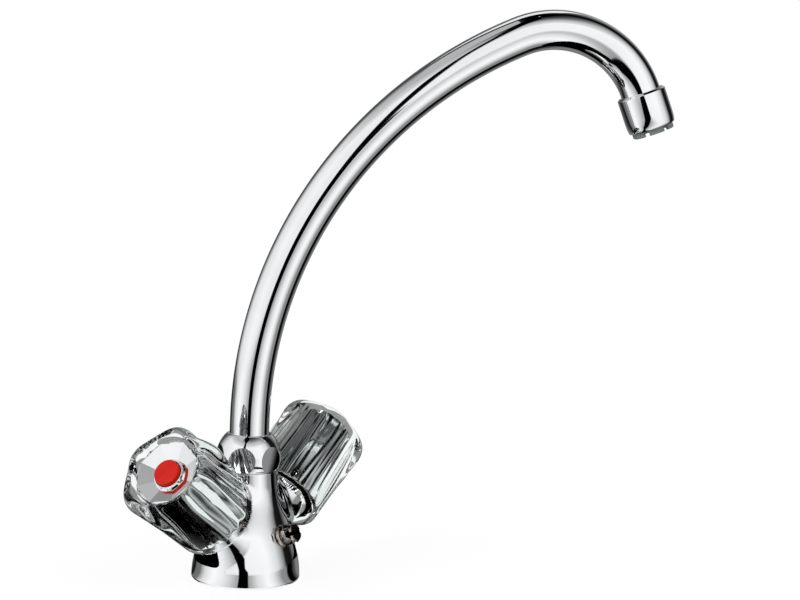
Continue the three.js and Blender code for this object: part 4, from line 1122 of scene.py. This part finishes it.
@dataclass
class Spout(Assembly):
    """The swan neck with its aerator."""

    turn: float = 35
    tube_radius: float = 9
    wall: float = 1.1
    foot: float = 59.8
    straight_top: float = 71.5
    rise_radius: float = 196
    rise_angle: float = 66
    crown_radius: float = 41.8
    outlet_tilt: float = 21.2
    overlap: float = 8
    sides: int = 128
    sleeve_radius: float = 11.15
    sleeve_foot: float = 10.4
    sleeve_length: float = 16.8
    sleeve_shoulder: float = 0.9
    taper_length: float = 5.4
    sleeve_bore: float = 9.3
    recess: float = 9.8
    insert_start: float = 9.9
    insert_gap: float = 0.3
    insert_wall: float = 1.7
    teeth: int = 6
    tooth_gap: float = 15
    tooth_length: float = 2.5
    tooth_root: float = 1.0
    plate_depth: float = 3.4
    plate_thickness: float = 1.4
    plate_holes: int = 6
    hole_pitch: float = 4
    hole_radius: float = 1.4
    hole_sides: int = 15

    @property
    def swivel(self) -> Matrix:
        """The frame of the spout, whose +X points along it."""
        return Matrix.Rotation(math.radians(self.turn - 90), 4, "Z")

    def centre_line(self) -> list[tuple[Vector, float]]:
        """Places along the tube with the angle away from straight up.

        Returns:
            The places, from the foot to the end of the tube inside the sleeve.
        """
        rise = math.radians(self.rise_angle)
        fall = math.pi - math.radians(self.outlet_tilt)

        def on_arc(centre: Vector, radius: float, heading: float) -> tuple[Vector, float]:
            """A place on an arc, by its heading."""
            return centre + Vector((-radius * math.cos(heading), 0, radius * math.sin(heading))), heading

        straight = self.straight_top - self.foot
        line = [(Vector((0, 0, self.foot + straight * share)), 0.0) for share in shares(4)[:-1]]
        wide = Vector((self.rise_radius, 0, self.straight_top))
        line += [on_arc(wide, self.rise_radius, rise * share) for share in shares(90)]
        tight = line[-1][0] + Vector((math.cos(rise), 0, -math.sin(rise))) * self.crown_radius
        line += [on_arc(tight, self.crown_radius, rise + (fall - rise) * share) for share in shares(64, 1)]
        outlet, heading = line[-1][0], Vector((math.sin(fall), 0, math.cos(fall)))
        return line + [(outlet + heading * self.overlap * share, fall) for share in shares(3, 1)]

    def outlet(self) -> Matrix:
        """The frame of the aerator, whose +Z points down the outlet."""
        tip = Matrix.Rotation(math.pi - math.radians(self.outlet_tilt), 4, "Y")
        return self.swivel @ Matrix.Translation(self.centre_line()[-4][0]) @ tip

    def tube(self) -> bpy.types.Object:
        """The bent tube with its bore.

        Returns:
            The tube.
        """
        line = self.centre_line()

        def ring(spot: Vector, heading: float, radius: float) -> list[Vector]:
            """One ring of points square to the centre line."""
            across = Vector((math.cos(heading), 0, -math.sin(heading)))
            return [spot + across * x + Vector((0, y, 0)) for x, y in circle(radius, self.sides)]

        rows = [ring(spot, heading, self.tube_radius) for spot, heading in line]
        rows += [ring(spot, heading, self.tube_radius - self.wall) for spot, heading in reversed(line)]
        bm = bmesh.new()
        add_rows(bm, rows, closed=True)
        return mesh_object("swan_neck_tube", bm, self.swivel)

    def sleeve(self) -> bpy.types.Object:
        """The chromed sleeve at the outlet, drawn in at its foot along an ellipse.

        Returns:
            The sleeve.
        """
        drop, start = self.sleeve_radius - self.sleeve_foot, self.sleeve_length - self.taper_length
        taper = [(self.sleeve_foot + drop * math.sqrt(1 - t**2), start + self.taper_length * t) for t in shares(12)]
        ledge, shoulder = self.insert_start - self.insert_gap, self.sleeve_shoulder
        outline = [(self.sleeve_bore, 0.0), (self.sleeve_bore + shoulder, 0.0), (self.sleeve_radius, shoulder)]
        outline += [*taper, (self.recess, self.sleeve_length), (self.recess, ledge), (self.sleeve_bore, ledge)]
        return revolved("outlet_sleeve", rounded(outline, 0.35, 5), self.outlet(), 128)

    def insert(self, material: bpy.types.Material) -> bpy.types.Object:
        """The castellated insert with its holed plate; teeth and holes are set round by nodes.

        The outer holes are two rings of half as many, so that the facets of all of them lie alike.

        Args:
            material: its finish.

        Returns:
            The insert.
        """
        place, start, root = self.outlet(), self.insert_start, self.sleeve_length
        outer = self.recess - self.insert_gap
        inner = outer - self.insert_wall
        barrel = [(inner, start), (outer, start), (outer, root), (inner, root)]
        insert = revolved("castellated_insert", rounded(barrel, 0.2, 2), place)
        middle = 180 / self.teeth
        first, last = self.tooth_gap / 2, 2 * middle - self.tooth_gap / 2
        corners = arc((0, 0), outer, first, last, 12) + arc((0, 0), inner, last, first, 12)
        tooth = prism("insert_teeth", corners, root - self.tooth_root, root + self.tooth_length)
        bevelled(tooth, 0.3, 3, 40)
        join_meshes(insert, ring_of(tooth, self.teeth, material, place))
        low, high = root - self.plate_depth, root - self.plate_depth + self.plate_thickness
        plate = prism("insert_plate", circle(inner + 0.5, 60), low, high, place)
        holes = [prism("insert_hole", circle(self.hole_radius, self.hole_sides), low - 1, high + 1, place)]
        for turn in (0, 2 * math.pi / self.plate_holes):
            spot = (self.hole_pitch * math.cos(turn), self.hole_pitch * math.sin(turn))
            hole = prism("insert_hole", circle(self.hole_radius, self.hole_sides, *spot), low - 1, high + 1)
            holes.append(ring_of(hole, self.plate_holes // 2, material, place))
        cut_away(plate, holes)
        join_meshes(insert, plate)
        return insert

    def build(self) -> None:
        """Makes the spout's pieces and hands them to the frame."""
        finishes = self.finishes
        self.put(self.tube(), "spout", "chrome", finishes.chrome, "spout_tube")
        self.put(self.sleeve(), "spout", "chrome", finishes.chrome, "aerator_housing")
        self.put(self.insert(finishes.grey), "spout", "grey_plastic", finishes.grey, "aerator_insert")
        self.dress(finishes.brass, "spout_spigot")
        self.dress(finishes.steel, "aerator_screen")
        self.dress(finishes.rubber, "spout_o_ring_lower", "spout_o_ring_upper", "aerator_washer")


@dataclass
class Handle(Assembly):
    """One arm's handle and headwork."""

    side: Side = Side.HOT
    turn: float = 0
    arm: Arm = field(default_factory=Arm)
    rear: float = 31.5
    rear_radius: float = 19.7
    rear_inner: float = 17.8
    rear_lip: float = 0.5
    crest_station: float = 67
    crest_radius: float = 23.8
    front: float = 77.5
    front_radius: float = 17.4
    lobes: int = 6
    lobe_depth: float = 0.16
    flutes: int = 16
    flute_depth: float = 0.8
    core_rear: float = 33.5
    core_rear_radius: float = 17
    core_front: float = 74.8
    core_front_radius: float = 15.6
    core_wall: float = 1.5
    core_flutes: int = 15
    core_waves: int = 8
    core_flute_depth: float = 1.1
    dish_facets: int = 8
    dish_radius: float = 15
    dish_depth: float = 2.6
    dish_thickness: float = 2.2
    facet_thickness: float = 1.2
    well_radius: float = 6.25
    well_floor: float = 66.5
    well_rim: float = 73.4
    well_wall: float = 0.65
    screw_radius: float = 2.0
    screw_seat: float = 62.3
    spline_radius: float = 4.4
    boss_start: float = 53
    boss_radius: float = 7.4
    button_radius: float = 5.95
    button_top: float = 75.2
    button_wall: float = 1.0
    button_height: float = 5.5
    gap: float = 0.3
    around: int = 240

    @property
    def place(self) -> Matrix:
        """The frame of this handle."""
        return self.arm.place(self.side, self.turn)

    def core_radius(self, station: float) -> float:
        """Outer radius of the core at a station."""
        share = (station - self.core_rear) / (self.core_front - self.core_rear)
        return self.core_rear_radius + (self.core_front_radius - self.core_rear_radius) * share

    def crystal(self) -> bpy.types.Object:
        """The clear lobed knob with its fluted bore.

        Returns:
            The knob.
        """
        rear, lip, crest, depth = self.rear, self.rear_lip, self.crest_radius, self.lobe_depth
        rows: list[tuple[float, float, float]] = []
        for turn in (math.pi / 2 * share for share in reversed(shares(4))):
            rows.append((rear + lip * (1 - math.sin(turn)), self.rear_radius - lip * (1 - math.cos(turn)), 0.0))
        for share in shares(24, 1):
            radius = self.rear_radius + (crest - self.rear_radius) * share
            rows.append((rear + lip + (self.crest_station - rear - lip) * share, radius, depth * share))
        for turn in (math.pi / 2 * share for share in shares(24, 1)):
            radius = self.front_radius + (crest - self.front_radius) * math.cos(turn)
            station = self.crest_station + (self.front - self.crest_station) * math.sin(turn)
            rows.append((station, radius, depth * math.cos(turn)))
        bore_front = self.core_front + 0.5
        bore = self.core_radius(bore_front) + self.gap
        rows += [(self.front - 0.1, bore + 0.9, 0.0), (self.front - 0.6, bore + 0.2, 0.0)]
        fluted_from = len(rows) + 1
        for share in shares(12):
            station = bore_front + (self.core_rear - bore_front) * share
            rows.append((station, self.core_radius(station) + self.gap, 0.0))
        fluted_to = len(rows) - 1
        rows += [(rear + 0.3, self.rear_inner, 0.0), (rear, self.rear_inner + 0.3, 0.0)]
        rings = []
        for number, (station, radius, lobe) in enumerate(rows):
            flute = self.flute_depth if fluted_from <= number < fluted_to else 0.0
            ring = []
            for i in range(self.around):
                angle = 2 * math.pi * i / self.around
                swell = radius * (1 - lobe * (1 - math.cos(self.lobes * angle)) / 2)
                swell += flute * (1 + math.cos(self.flutes * angle)) / 2
                ring.append(Vector((swell * math.cos(angle), swell * math.sin(angle), station)))
            rings.append(ring)
        bm = bmesh.new()
        add_rows(bm, rings, closed=True)
        return mesh_object(f"{self.side.word}_clear_knob", bm, self.place)

    def core(self) -> bpy.types.Object:
        """The fluted chromed sleeve behind the dish, with its boss and its button well.

        Returns:
            The core without the dish's facets.
        """
        floor = self.core_front - self.dish_depth
        shoulder = floor - self.dish_thickness
        well = self.well_radius + self.well_wall
        front = self.core_front_radius
        outline = [(self.screw_radius, self.screw_seat), (self.screw_radius, self.well_floor)]
        outline += [(self.well_radius, self.well_floor), (self.well_radius, self.well_rim)]
        outline += [(well, self.well_rim), (well, floor - 0.6), (self.dish_radius - 0.2, self.core_front - 0.9)]
        outline += [(front - 0.3, self.core_front), (front, self.core_front - 0.3)]
        outline += [(self.core_rear_radius, self.core_rear)]
        outline += [(self.core_rear_radius - self.core_wall, self.core_rear)]
        outline += [(self.core_radius(shoulder) - self.core_wall, shoulder), (self.boss_radius, shoulder)]
        outline += [(self.boss_radius, self.boss_start), (self.spline_radius, self.boss_start)]
        outline += [(self.spline_radius, self.screw_seat)]
        core = revolved(f"{self.side.word}_chromed_core", rounded(outline, 0.25, 3), self.place, 192)
        place = TO_METRES @ self.place
        back = place.inverted()
        sleeve_skin = 0.45
        for vertex in core.data.vertices:
            spot = back @ vertex.co
            radius, angle = math.hypot(spot.x, spot.y), math.atan2(spot.y, spot.x)
            if radius > self.core_radius(spot.z) - sleeve_skin:
                wave = 2 - math.cos(self.core_flutes * angle) - math.cos(self.core_waves * angle + 1)
                share = 1 - self.core_flute_depth * wave / 4 / radius
                vertex.co = place @ Vector((spot.x * share, spot.y * share, spot.z))
        return core

    def petals(self, material: bpy.types.Material) -> bpy.types.Object:
        """The flat facets of the dish, set round by nodes.

        Args:
            material: their finish.

        Returns:
            The ring of facets.
        """
        half = math.pi / self.dish_facets
        inner = ((self.well_radius + self.well_wall - 0.3) / math.cos(half), self.core_front - self.dish_depth)
        outer = (self.dish_radius, self.core_front)
        ways = ((inner, -half), (outer, -half), (outer, half), (inner, half))
        upper = [(radius * math.cos(turn), radius * math.sin(turn), station) for (radius, station), turn in ways]
        lower = [(x, y, z - self.facet_thickness) for x, y, z in upper]
        facet = block(f"{self.side.word}_dish_facets", lower, upper, smooth=math.radians(5))
        return ring_of(facet, self.dish_facets, material, self.place)

    def button(self) -> bpy.types.Object:
        """The coloured button.

        Returns:
            The button.
        """
        radius, top = self.button_radius, self.button_top
        inner, foot, roof = radius - self.button_wall, top - self.button_height, top - 1.5
        outline = [(0.0, roof), (inner, roof), (inner, foot), (radius, foot), (radius, top - 0.45)]
        outline += [(radius - 0.12, top - 0.2), (radius - 0.45, top - 0.08), (radius / 2, top - 0.02), (0.0, top)]
        return revolved(f"{self.side.word}_button", outline, self.place, closed=False)

    def build(self) -> None:
        """Makes the handle's pieces and hands them to the frame."""
        word, finishes = self.side.word, self.finishes
        body = f"{word}_handle"
        slot, colour = {Side.HOT: ("hot_red", finishes.red), Side.COLD: ("cold_blue", finishes.blue)}[self.side]
        self.put(self.crystal(), body, "crystal", finishes.crystal, f"{word}_crystal_handle")
        core = self.core()
        join_meshes(core, self.petals(finishes.chrome))
        self.put(core, body, "chrome", finishes.chrome, f"{word}_handle_core")
        self.put(self.button(), body, slot, colour, f"{word}_index_button")
        for piece in ("valve_bonnet", "spindle", "valve_plug", "washer_screw"):
            self.dress(finishes.brass, f"{word}_{piece}")
        for piece in ("handle_screw", "spindle_circlip"):
            self.dress(finishes.steel, f"{word}_{piece}")
        for piece in ("spindle_o_ring", "seat_washer", "head_gasket"):
            self.dress(finishes.rubber, f"{word}_{piece}")


@dataclass
class ChainStay(Assembly):
    """The dark post on the front of the waist, and its disc."""

    tilt: float = 22
    origin_height: float = 14
    disc_start: float = 21.57
    disc_radius: float = 5.2
    disc_thickness: float = 1.2
    across_flats: float = 8
    post_start: float = 23.07
    post_length: float = 6.2
    shank_radius: float = 2.2
    slot_width: float = 1.8
    slot_depth: float = 3.4
    eye_radius: float = 1.1
    reach: float = 9

    def bar(self, name: str, outline: Sequence[Point], place: Matrix, segments: int) -> bpy.types.Object:
        """A turned bar whose outline is closed along the axis.

        Args:
            name: the object's name.
            outline: [radius, height] points off the axis, from below.
            place: its frame.
            segments: facets per turn.

        Returns:
            The bar.
        """
        whole = [(0.0, outline[0][1]), *outline, (0.0, outline[-1][1])]
        return revolved(name, whole, place, segments, closed=False)

    def disc(self, place: Matrix) -> bpy.types.Object:
        """The disc under the post.

        Args:
            place: the frame of the stay.

        Returns:
            The disc.
        """
        start, radius, thickness, hole = self.disc_start, self.disc_radius, self.disc_thickness, self.shank_radius + 0.3
        outline = [(hole, start), (radius, start), (radius, start + thickness * 0.55)]
        outline += [(radius - thickness * 0.6, start + thickness), (hole, start + thickness)]
        return revolved("stay_disc", rounded(outline, 0.15, 3), place, 72)

    def post(self, place: Matrix) -> bpy.types.Object:
        """The hexagon post with its slot, its eye and its shank.

        Args:
            place: the frame of the stay.

        Returns:
            The post.
        """
        start, end, reach = self.disc_start, self.post_start + self.post_length, self.reach
        corner = self.across_flats / math.sqrt(3)
        turns = [math.radians(60 * i) for i in range(6)]
        hexagon = [(corner * math.sin(turn), corner * math.cos(turn)) for turn in turns]
        post = prism("stay_post", hexagon, self.post_start, end, place)
        bevel = [(corner + 1, start - 8), (corner + 1, end - 1.4), (corner - 1, end)]
        cut_away(post, [self.bar("stay_bevel", bevel, place, 72)], "INTERSECT")
        slot = prism("stay_slot", rectangle(reach, self.slot_width / 2), end - self.slot_depth, end + 2, place)
        middle = Matrix.Translation((0, 0, end - self.slot_depth / 2)) @ Matrix.Rotation(math.pi / 2, 4, "X")
        eye = self.bar("stay_eye", [(self.eye_radius, -reach), (self.eye_radius, reach)], place @ middle, 32)
        cut_away(post, [slot, eye])
        shank = [(self.shank_radius, start - 7), (self.shank_radius, self.post_start + 1)]
        cut_away(post, [self.bar("stay_shank", shank, place, 48)], "UNION")
        bevelled(post, 0.18, 2, 25)
        return post

    def build(self) -> None:
        """Makes the stay's pieces and hands them to the frame."""
        tip = Matrix.Rotation(math.radians(90 - self.tilt), 4, "X")
        place = Matrix.Translation((0, 0, self.origin_height)) @ tip
        for piece, node in ((self.disc, "chain_stay_disc"), (self.post, "chain_stay_post")):
            self.put(piece(place), "tap_body", "dark_nickel", self.finishes.dark_nickel, node)


# ---------------------------------------------------------------- studio


def stage_unseen(obj: bpy.types.Object, viewer: Viewer) -> None:
    """Stages a piece of the studio that only one viewer sees.

    Args:
        obj: the piece.
        viewer: bare metal or the clear knobs.
    """
    obj.visible_camera = False
    obj.visible_diffuse = False
    obj.visible_shadow = False
    obj.visible_glossy = viewer is Viewer.METAL
    obj.visible_transmission = viewer is Viewer.CRYSTAL


def glowing(obj: bpy.types.Object, tree: ShaderTree, material: bpy.types.Material, glow: Socket) -> None:
    """Ends a glowing material and puts it on its piece.

    Args:
        obj: the piece.
        tree: the material's tree.
        material: the material.
        glow: what its surface shows.
    """
    tree.surface(glow)
    obj.data.materials.append(material)


@dataclass
class Tent:
    """Pale and dark cloths all round, from the floor to the roof, with a pit in the floor.

    Their tones are greys by direction: azimuth for the walls, elevation for the roof. One dark gap between two
    cloths leans across the wall. Lengths are metres, angles degrees.
    """

    name: str
    viewer: Viewer
    low_tones: Tones
    high_tones: Tones
    roof_tones: Tones
    camera_side: float
    reach: float = 2.5
    middle: float = 0.14
    start: float = 0.026
    near_reach: float = 0.088
    far_reach: float = 0.245
    pit_depth: float = 0.06
    floor_height: float = 0.0004
    near_spread: float = 0.0133
    gap_azimuth: float = -4
    gap_lean: float = 0.42
    gap_width: float = 5
    lean_end: float = 36
    strength: float = 1.08

    def mesh(self) -> bpy.types.Object:
        """The tent's shape: floor, pit and dome.

        Returns:
            The tent without its cloth.
        """
        floor, pit, reach = self.floor_height, -self.pit_depth, self.reach
        outline = [(self.start, floor), (self.near_reach, floor), (self.near_reach, pit), (self.far_reach, pit)]
        outline += [(self.far_reach, floor), (reach, floor)]
        outline += [(reach * math.cos(t), reach * math.sin(t)) for t in np.radians(range(5, 86, 8))]
        outline.append((reach * 0.01, reach))
        bm = bmesh.new()
        rows = [[Vector((x, y, z)) / MM for x, y in circle(radius, 72)] for radius, z in outline]
        add_rows(bm, rows, closed=False)
        return mesh_object(self.name, bm)

    def cloth(self, tree: ShaderTree) -> Socket:
        """The cloths' colour by direction.

        Args:
            tree: the cloth's tree.

        Returns:
            The colour.
        """
        x, y, z = tree.where()
        out = (x * x + y * y) ** 0.5
        turns = y.angle_over(x) * (1 / math.tau) + (0.5 - (self.camera_side - 90) / 360)
        azimuth = (turns.fraction() * 360 - 180) * (out**-1.0 * self.near_spread + 1)
        low, high = tree.ramp(azimuth, self.low_tones), tree.ramp(azimuth, self.high_tones)
        lift = (z - self.middle).angle_over(out) * math.degrees(1)
        colour = tree.blend(lift.above(-4, 10), low, high)
        colour = tree.blend(1.0, colour, tree.ramp(lift, self.roof_tones), "MULTIPLY")
        leaning = self.lean_end - (self.lean_end - lift.most(0)).most(0)
        aside = azimuth - self.gap_azimuth + leaning * self.gap_lean
        width = (1 - lift.above(5, 10)) * self.gap_width + lift.above(64, 24) * 20 + self.gap_width
        away = (aside * aside) ** 0.5 - width
        return tree.blend(away.above(0, 2), (BLACK, BLACK, BLACK, 1), colour)

    def build(self) -> None:
        """Makes the tent."""
        obj = self.mesh()
        material = bpy.data.materials.new(f"{self.name}_cloth")
        tree = ShaderTree(material)
        glowing(obj, tree, material, tree.glow(self.cloth(tree), self.strength))
        stage_unseen(obj, self.viewer)


@dataclass(frozen=True)
class Card:
    """A card that only one viewer sees: its corners are azimuth, reach and height, its grey from 0 to 255."""

    name: str
    corners: Sequence[Spot]
    grey: float = 4
    viewer: Viewer = Viewer.METAL

    @staticmethod
    def row(reach: float, height: float, *azimuths: float) -> list[Spot]:
        """Corners in a row at one reach and height."""
        return [(azimuth, reach, height) for azimuth in azimuths]

    @classmethod
    def sector(cls, height: float, near: float, far: float, *azimuths: float) -> list[Spot]:
        """The corners of a level sector between two reaches."""
        return cls.row(near, height, *azimuths) + cls.row(far, height, *reversed(azimuths))


@dataclass(frozen=True)
class Lamp:
    """A soft square lamp: azimuth, height and reach of its middle, its size and its power in watts."""

    name: str
    azimuth: float
    height: float
    reach: float
    size: float
    watts: float


@dataclass
class Studio:
    """Floor, light and camera.

    An azimuth is measured at the faucet from the camera's side, positive towards the camera's right.
    """

    camera_side: float = -55
    camera_distance: float = 0.89606
    camera_height: float = 0.23393
    yaw: float = 4.2483
    pitch: float = 6.6046
    roll: float = -2.0991
    focal_pixels: float = 1990.2
    image_width: int = 800
    sensor: float = 36
    floor_size: float = 8
    floor_colour: tuple[float, float, float, float] = (0.96, 0.96, 0.96, 1)
    floor_strength: float = 1.03
    floor_glow: float = 0.86
    far_glow: float = 0.1
    far_floor: float = 0.7
    light_share: float = 0.55
    aim_height: float = 0.1
    # Partly painted shade: the darker tones from -113 to -95 stand for the hot handle's shaded underside mirrored in
    # the base; the other tones are the studio's walls.
    low_tones: Tones = (
        (-180, 118), (-162, 70), (-150, 30), (-140, 30), (-131, 106), (-113, 112), (-104, 175), (-95, 216),
        (-81, 238), (-70, 250), (-47, 232), (-30, 202), (-18, 165), (8, 158), (18, 195), (25, 220), (37, 238),
        (48, 250), (62, 225), (83, 136), (98, 133), (102, 4), (118, 4), (132, 83), (143, 121), (180, 118),
    )  # fmt: skip
    high_tones: Tones = (
        (-180, 110), (-165, 80), (-145, 75), (-130, 170), (-110, 225), (-60, 245), (-25, 235), (5, 240),
        (50, 248), (75, 215), (92, 140), (100, 30), (122, 25), (135, 110), (150, 160), (180, 110),
    )  # fmt: skip
    roof_tones: Tones = ((38, 255), (46, 215), (53, 198), (60, 150), (67, 98), (74, 60), (81, 4))
    clear_tones: Tones = (
        (-180, 145), (-150, 135), (-120, 120), (-100, 175), (-88, 60), (-76, 185), (-58, 190), (-48, 90),
        (-38, 190), (-15, 165), (0, 130), (12, 210), (21, 8), (33, 205), (43, 20), (52, 190), (63, 6),
        (77, 195), (88, 100), (98, 190), (110, 30), (125, 90), (140, 145), (180, 145),
    )  # fmt: skip
    clear_roof: Tones = (
        (5, 255), (8, 4), (17, 4), (20, 255), (32, 255), (35, 4), (44, 4), (47, 240), (58, 235), (61, 4),
        (68, 4), (71, 200), (81, 160),
    )  # fmt: skip

    def spot(self, azimuth: float, reach: float, height: float) -> Vector:
        """A place in the studio.

        Args:
            azimuth: its side.
            reach: its distance from the faucet's axis.
            height: above the floor.

        Returns:
            The place, in metres.
        """
        angle = math.radians(self.camera_side - 90 + azimuth)
        return Vector((reach * math.cos(angle), reach * math.sin(angle), height))

    def world(self) -> None:
        """White to the eye and in reflections, softer as a light."""
        world = bpy.data.worlds.new("studio")
        bpy.context.scene.world = world
        tree = ShaderTree(world)
        strengths = (self.light_share, 1.0)
        white = {"Color": (1, 1, 1, 1)}
        soft, full = (tree.node("ShaderNodeBackground", {}, {**white, "Strength": s}) for s in strengths)
        mixed = tree.node("ShaderNodeMixShader", {}, {0: tree.seen(), 1: soft, 2: full})
        tree.surface(mixed, "ShaderNodeOutputWorld")

    def floor(self) -> None:
        """A pale floor that keeps a faint shadow and glows a little more far away, so no horizon shows."""
        bm = bmesh.new()
        bmesh.ops.create_grid(bm, x_segments=1, y_segments=1, size=self.floor_size / MM)
        obj = mesh_object("floor", bm)
        material = bpy.data.materials.new("pale_floor")
        tree = ShaderTree(material)
        base = tree.node("ShaderNodeBsdfDiffuse", {}, {"Color": self.floor_colour})
        x, y = tree.where(2)
        far = ((x * x + y * y) ** 0.5).above(self.far_floor, self.far_floor)
        share = tree.seen() * (far * self.far_glow + self.floor_glow)
        glow = tree.glow((1, 1, 1, 1), self.floor_strength)
        glowing(obj, tree, material, tree.node("ShaderNodeMixShader", {}, {0: share, 1: base, 2: glow}))
        obj.visible_glossy = False

    def hang(self, card: Card) -> None:
        """Makes a card.

        Args:
            card: its corners, its tone and who sees it.
        """
        bm = bmesh.new()
        bm.faces.new([bm.verts.new(self.spot(*corner) / MM) for corner in card.corners])
        obj = mesh_object(card.name, bm)
        material = bpy.data.materials.new(card.name)
        tree = ShaderTree(material)
        glowing(obj, tree, material, tree.glow(tone(card.grey), 1.0))
        stage_unseen(obj, card.viewer)

    def cards(self, near: float, far: float, low: float) -> list[Card]:
        """The cards: in the pit, overhead, a black card over the deck that the metal mirrors as painted shade under the
        handles, and a black card under the knobs that shows through them as painted shadow.

        Args:
            near: inner reach of the pit's floor.
            far: its outer reach.
            low: its height.

        Returns:
            The cards.
        """
        front = Card.row(near, low, 2, 30, 60, 90, 120, 150) + [(150, 0.15, low), (130, 0.2, low)]
        front += [(110, far, low), (90, far, low), (75, 0.23, low), (60, 0.22, low), (40, 0.23, low)]
        front += [(25, far, low), (2, far, low)]
        back = Card.row(1.5, 1.59, 150, 210) + Card.row(0.9, 2.2, 210, 150)
        top = Card.row(1.2, 1.85, -45, -90, -130) + Card.row(0.55, 2.19, -130, -45)
        return [
            Card("left_card", Card.sector(low, near, far, -95, -120, -150, -178), 245),
            Card("front_card", front),
            Card("back_card", back, 245),
            Card("top_card", top, 185),
            # Painted shade: a black card hovering just over the deck, which the metal mirrors in place of the handles'
            # shaded undersides.
            Card("arm_card", Card.sector(0.0085, 0.0275, 0.16, *range(-40, -251, -30))),
            # Painted shadow: a black card on the floor on the hot knob's side, seen through the clear knobs in place of
            # the shade under them.
            Card("knob_card", Card.sector(0.001, 0.03, 0.2, -110, -80, -50, -20, 10), viewer=Viewer.CRYSTAL),
        ]

    def light(self, lamp: Lamp) -> None:
        """Makes a lamp that faces the faucet.

        Args:
            lamp: its place, size and power.
        """
        spot = self.spot(lamp.azimuth, lamp.reach, lamp.height)
        data = bpy.data.lights.new(lamp.name, "AREA")
        data.shape, data.size, data.energy = "SQUARE", lamp.size, lamp.watts
        obj = bpy.data.objects.new(lamp.name, data)
        aim = (Vector((0, 0, self.aim_height)) - spot).to_track_quat("-Z", "Y")
        obj.matrix_world = Matrix.Translation(spot) @ aim.to_matrix().to_4x4()
        obj.visible_glossy = False
        bpy.context.scene.collection.objects.link(obj)

    def camera(self) -> None:
        """Puts the camera where the photograph was taken."""
        yaw, pitch, roll = (math.radians(a) for a in (self.yaw, self.pitch, self.roll))
        ahead, up = Vector((math.sin(yaw), math.cos(yaw), 0)), Vector((0, 0, 1))
        right = Vector((math.cos(yaw), -math.sin(yaw), 0))
        forward = ahead * math.cos(pitch) - up * math.sin(pitch)
        raised = ahead * math.sin(pitch) + up * math.cos(pitch)
        across = right * math.cos(roll) - raised * math.sin(roll)
        upward = right * math.sin(roll) + raised * math.cos(roll)
        turn = Matrix.Rotation(math.radians(self.camera_side), 3, "Z")
        axes = [turn @ axis for axis in (across, upward, -forward)]
        data = bpy.data.cameras.new("camera")
        data.sensor_width, data.sensor_fit = self.sensor, "HORIZONTAL"
        data.lens = self.focal_pixels * self.sensor / self.image_width
        data.clip_end = 50
        obj = bpy.data.objects.new("camera", data)
        place = Matrix(axes).transposed().to_4x4()
        place.translation = turn @ Vector((0, -self.camera_distance, self.camera_height))
        obj.matrix_world = place
        bpy.context.scene.collection.objects.link(obj)
        bpy.context.scene.camera = obj

    def build(self) -> None:
        """Makes the studio."""
        self.world()
        self.floor()
        walls = (self.low_tones, self.high_tones, self.roof_tones)
        clear = (self.clear_tones, self.clear_tones, self.clear_roof)
        tents = [Tent("surround", Viewer.METAL, *walls, self.camera_side)]
        tents.append(Tent("inner_surround", Viewer.CRYSTAL, *clear, self.camera_side))
        for tent in tents:
            tent.build()
        inside, pit = 0.001, tents[0]
        for card in self.cards(pit.near_reach + inside, pit.far_reach - inside, inside - pit.pit_depth):
            self.hang(card)
        self.light(Lamp("left_softbox", -60, 1.1, 1.6, 1.1, 16))
        self.light(Lamp("right_softbox", 45, 1.2, 1.6, 0.9, 12))
        self.camera()
        bpy.context.scene.view_settings.view_transform = "Standard"


def main() -> None:
    """Builds the studio and every sub-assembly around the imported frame."""
    logging.basicConfig(level=logging.INFO, format="%(name)s: %(message)s")
    for obj in list(bpy.data.objects):
        bpy.data.objects.remove(obj)
    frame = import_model()
    shared = (frame["nodes"], Finishes())
    Studio().build()
    Casting(*shared).build()
    SpoutNut(*shared).build()
    Spout(*shared).build()
    ChainStay(*shared).build()
    Handle(*shared, side=Side.HOT, turn=13).build()
    Handle(*shared, side=Side.COLD, turn=41.5).build()
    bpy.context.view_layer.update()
    LOG.info("done")


if __name__ == "__main__":
    main()
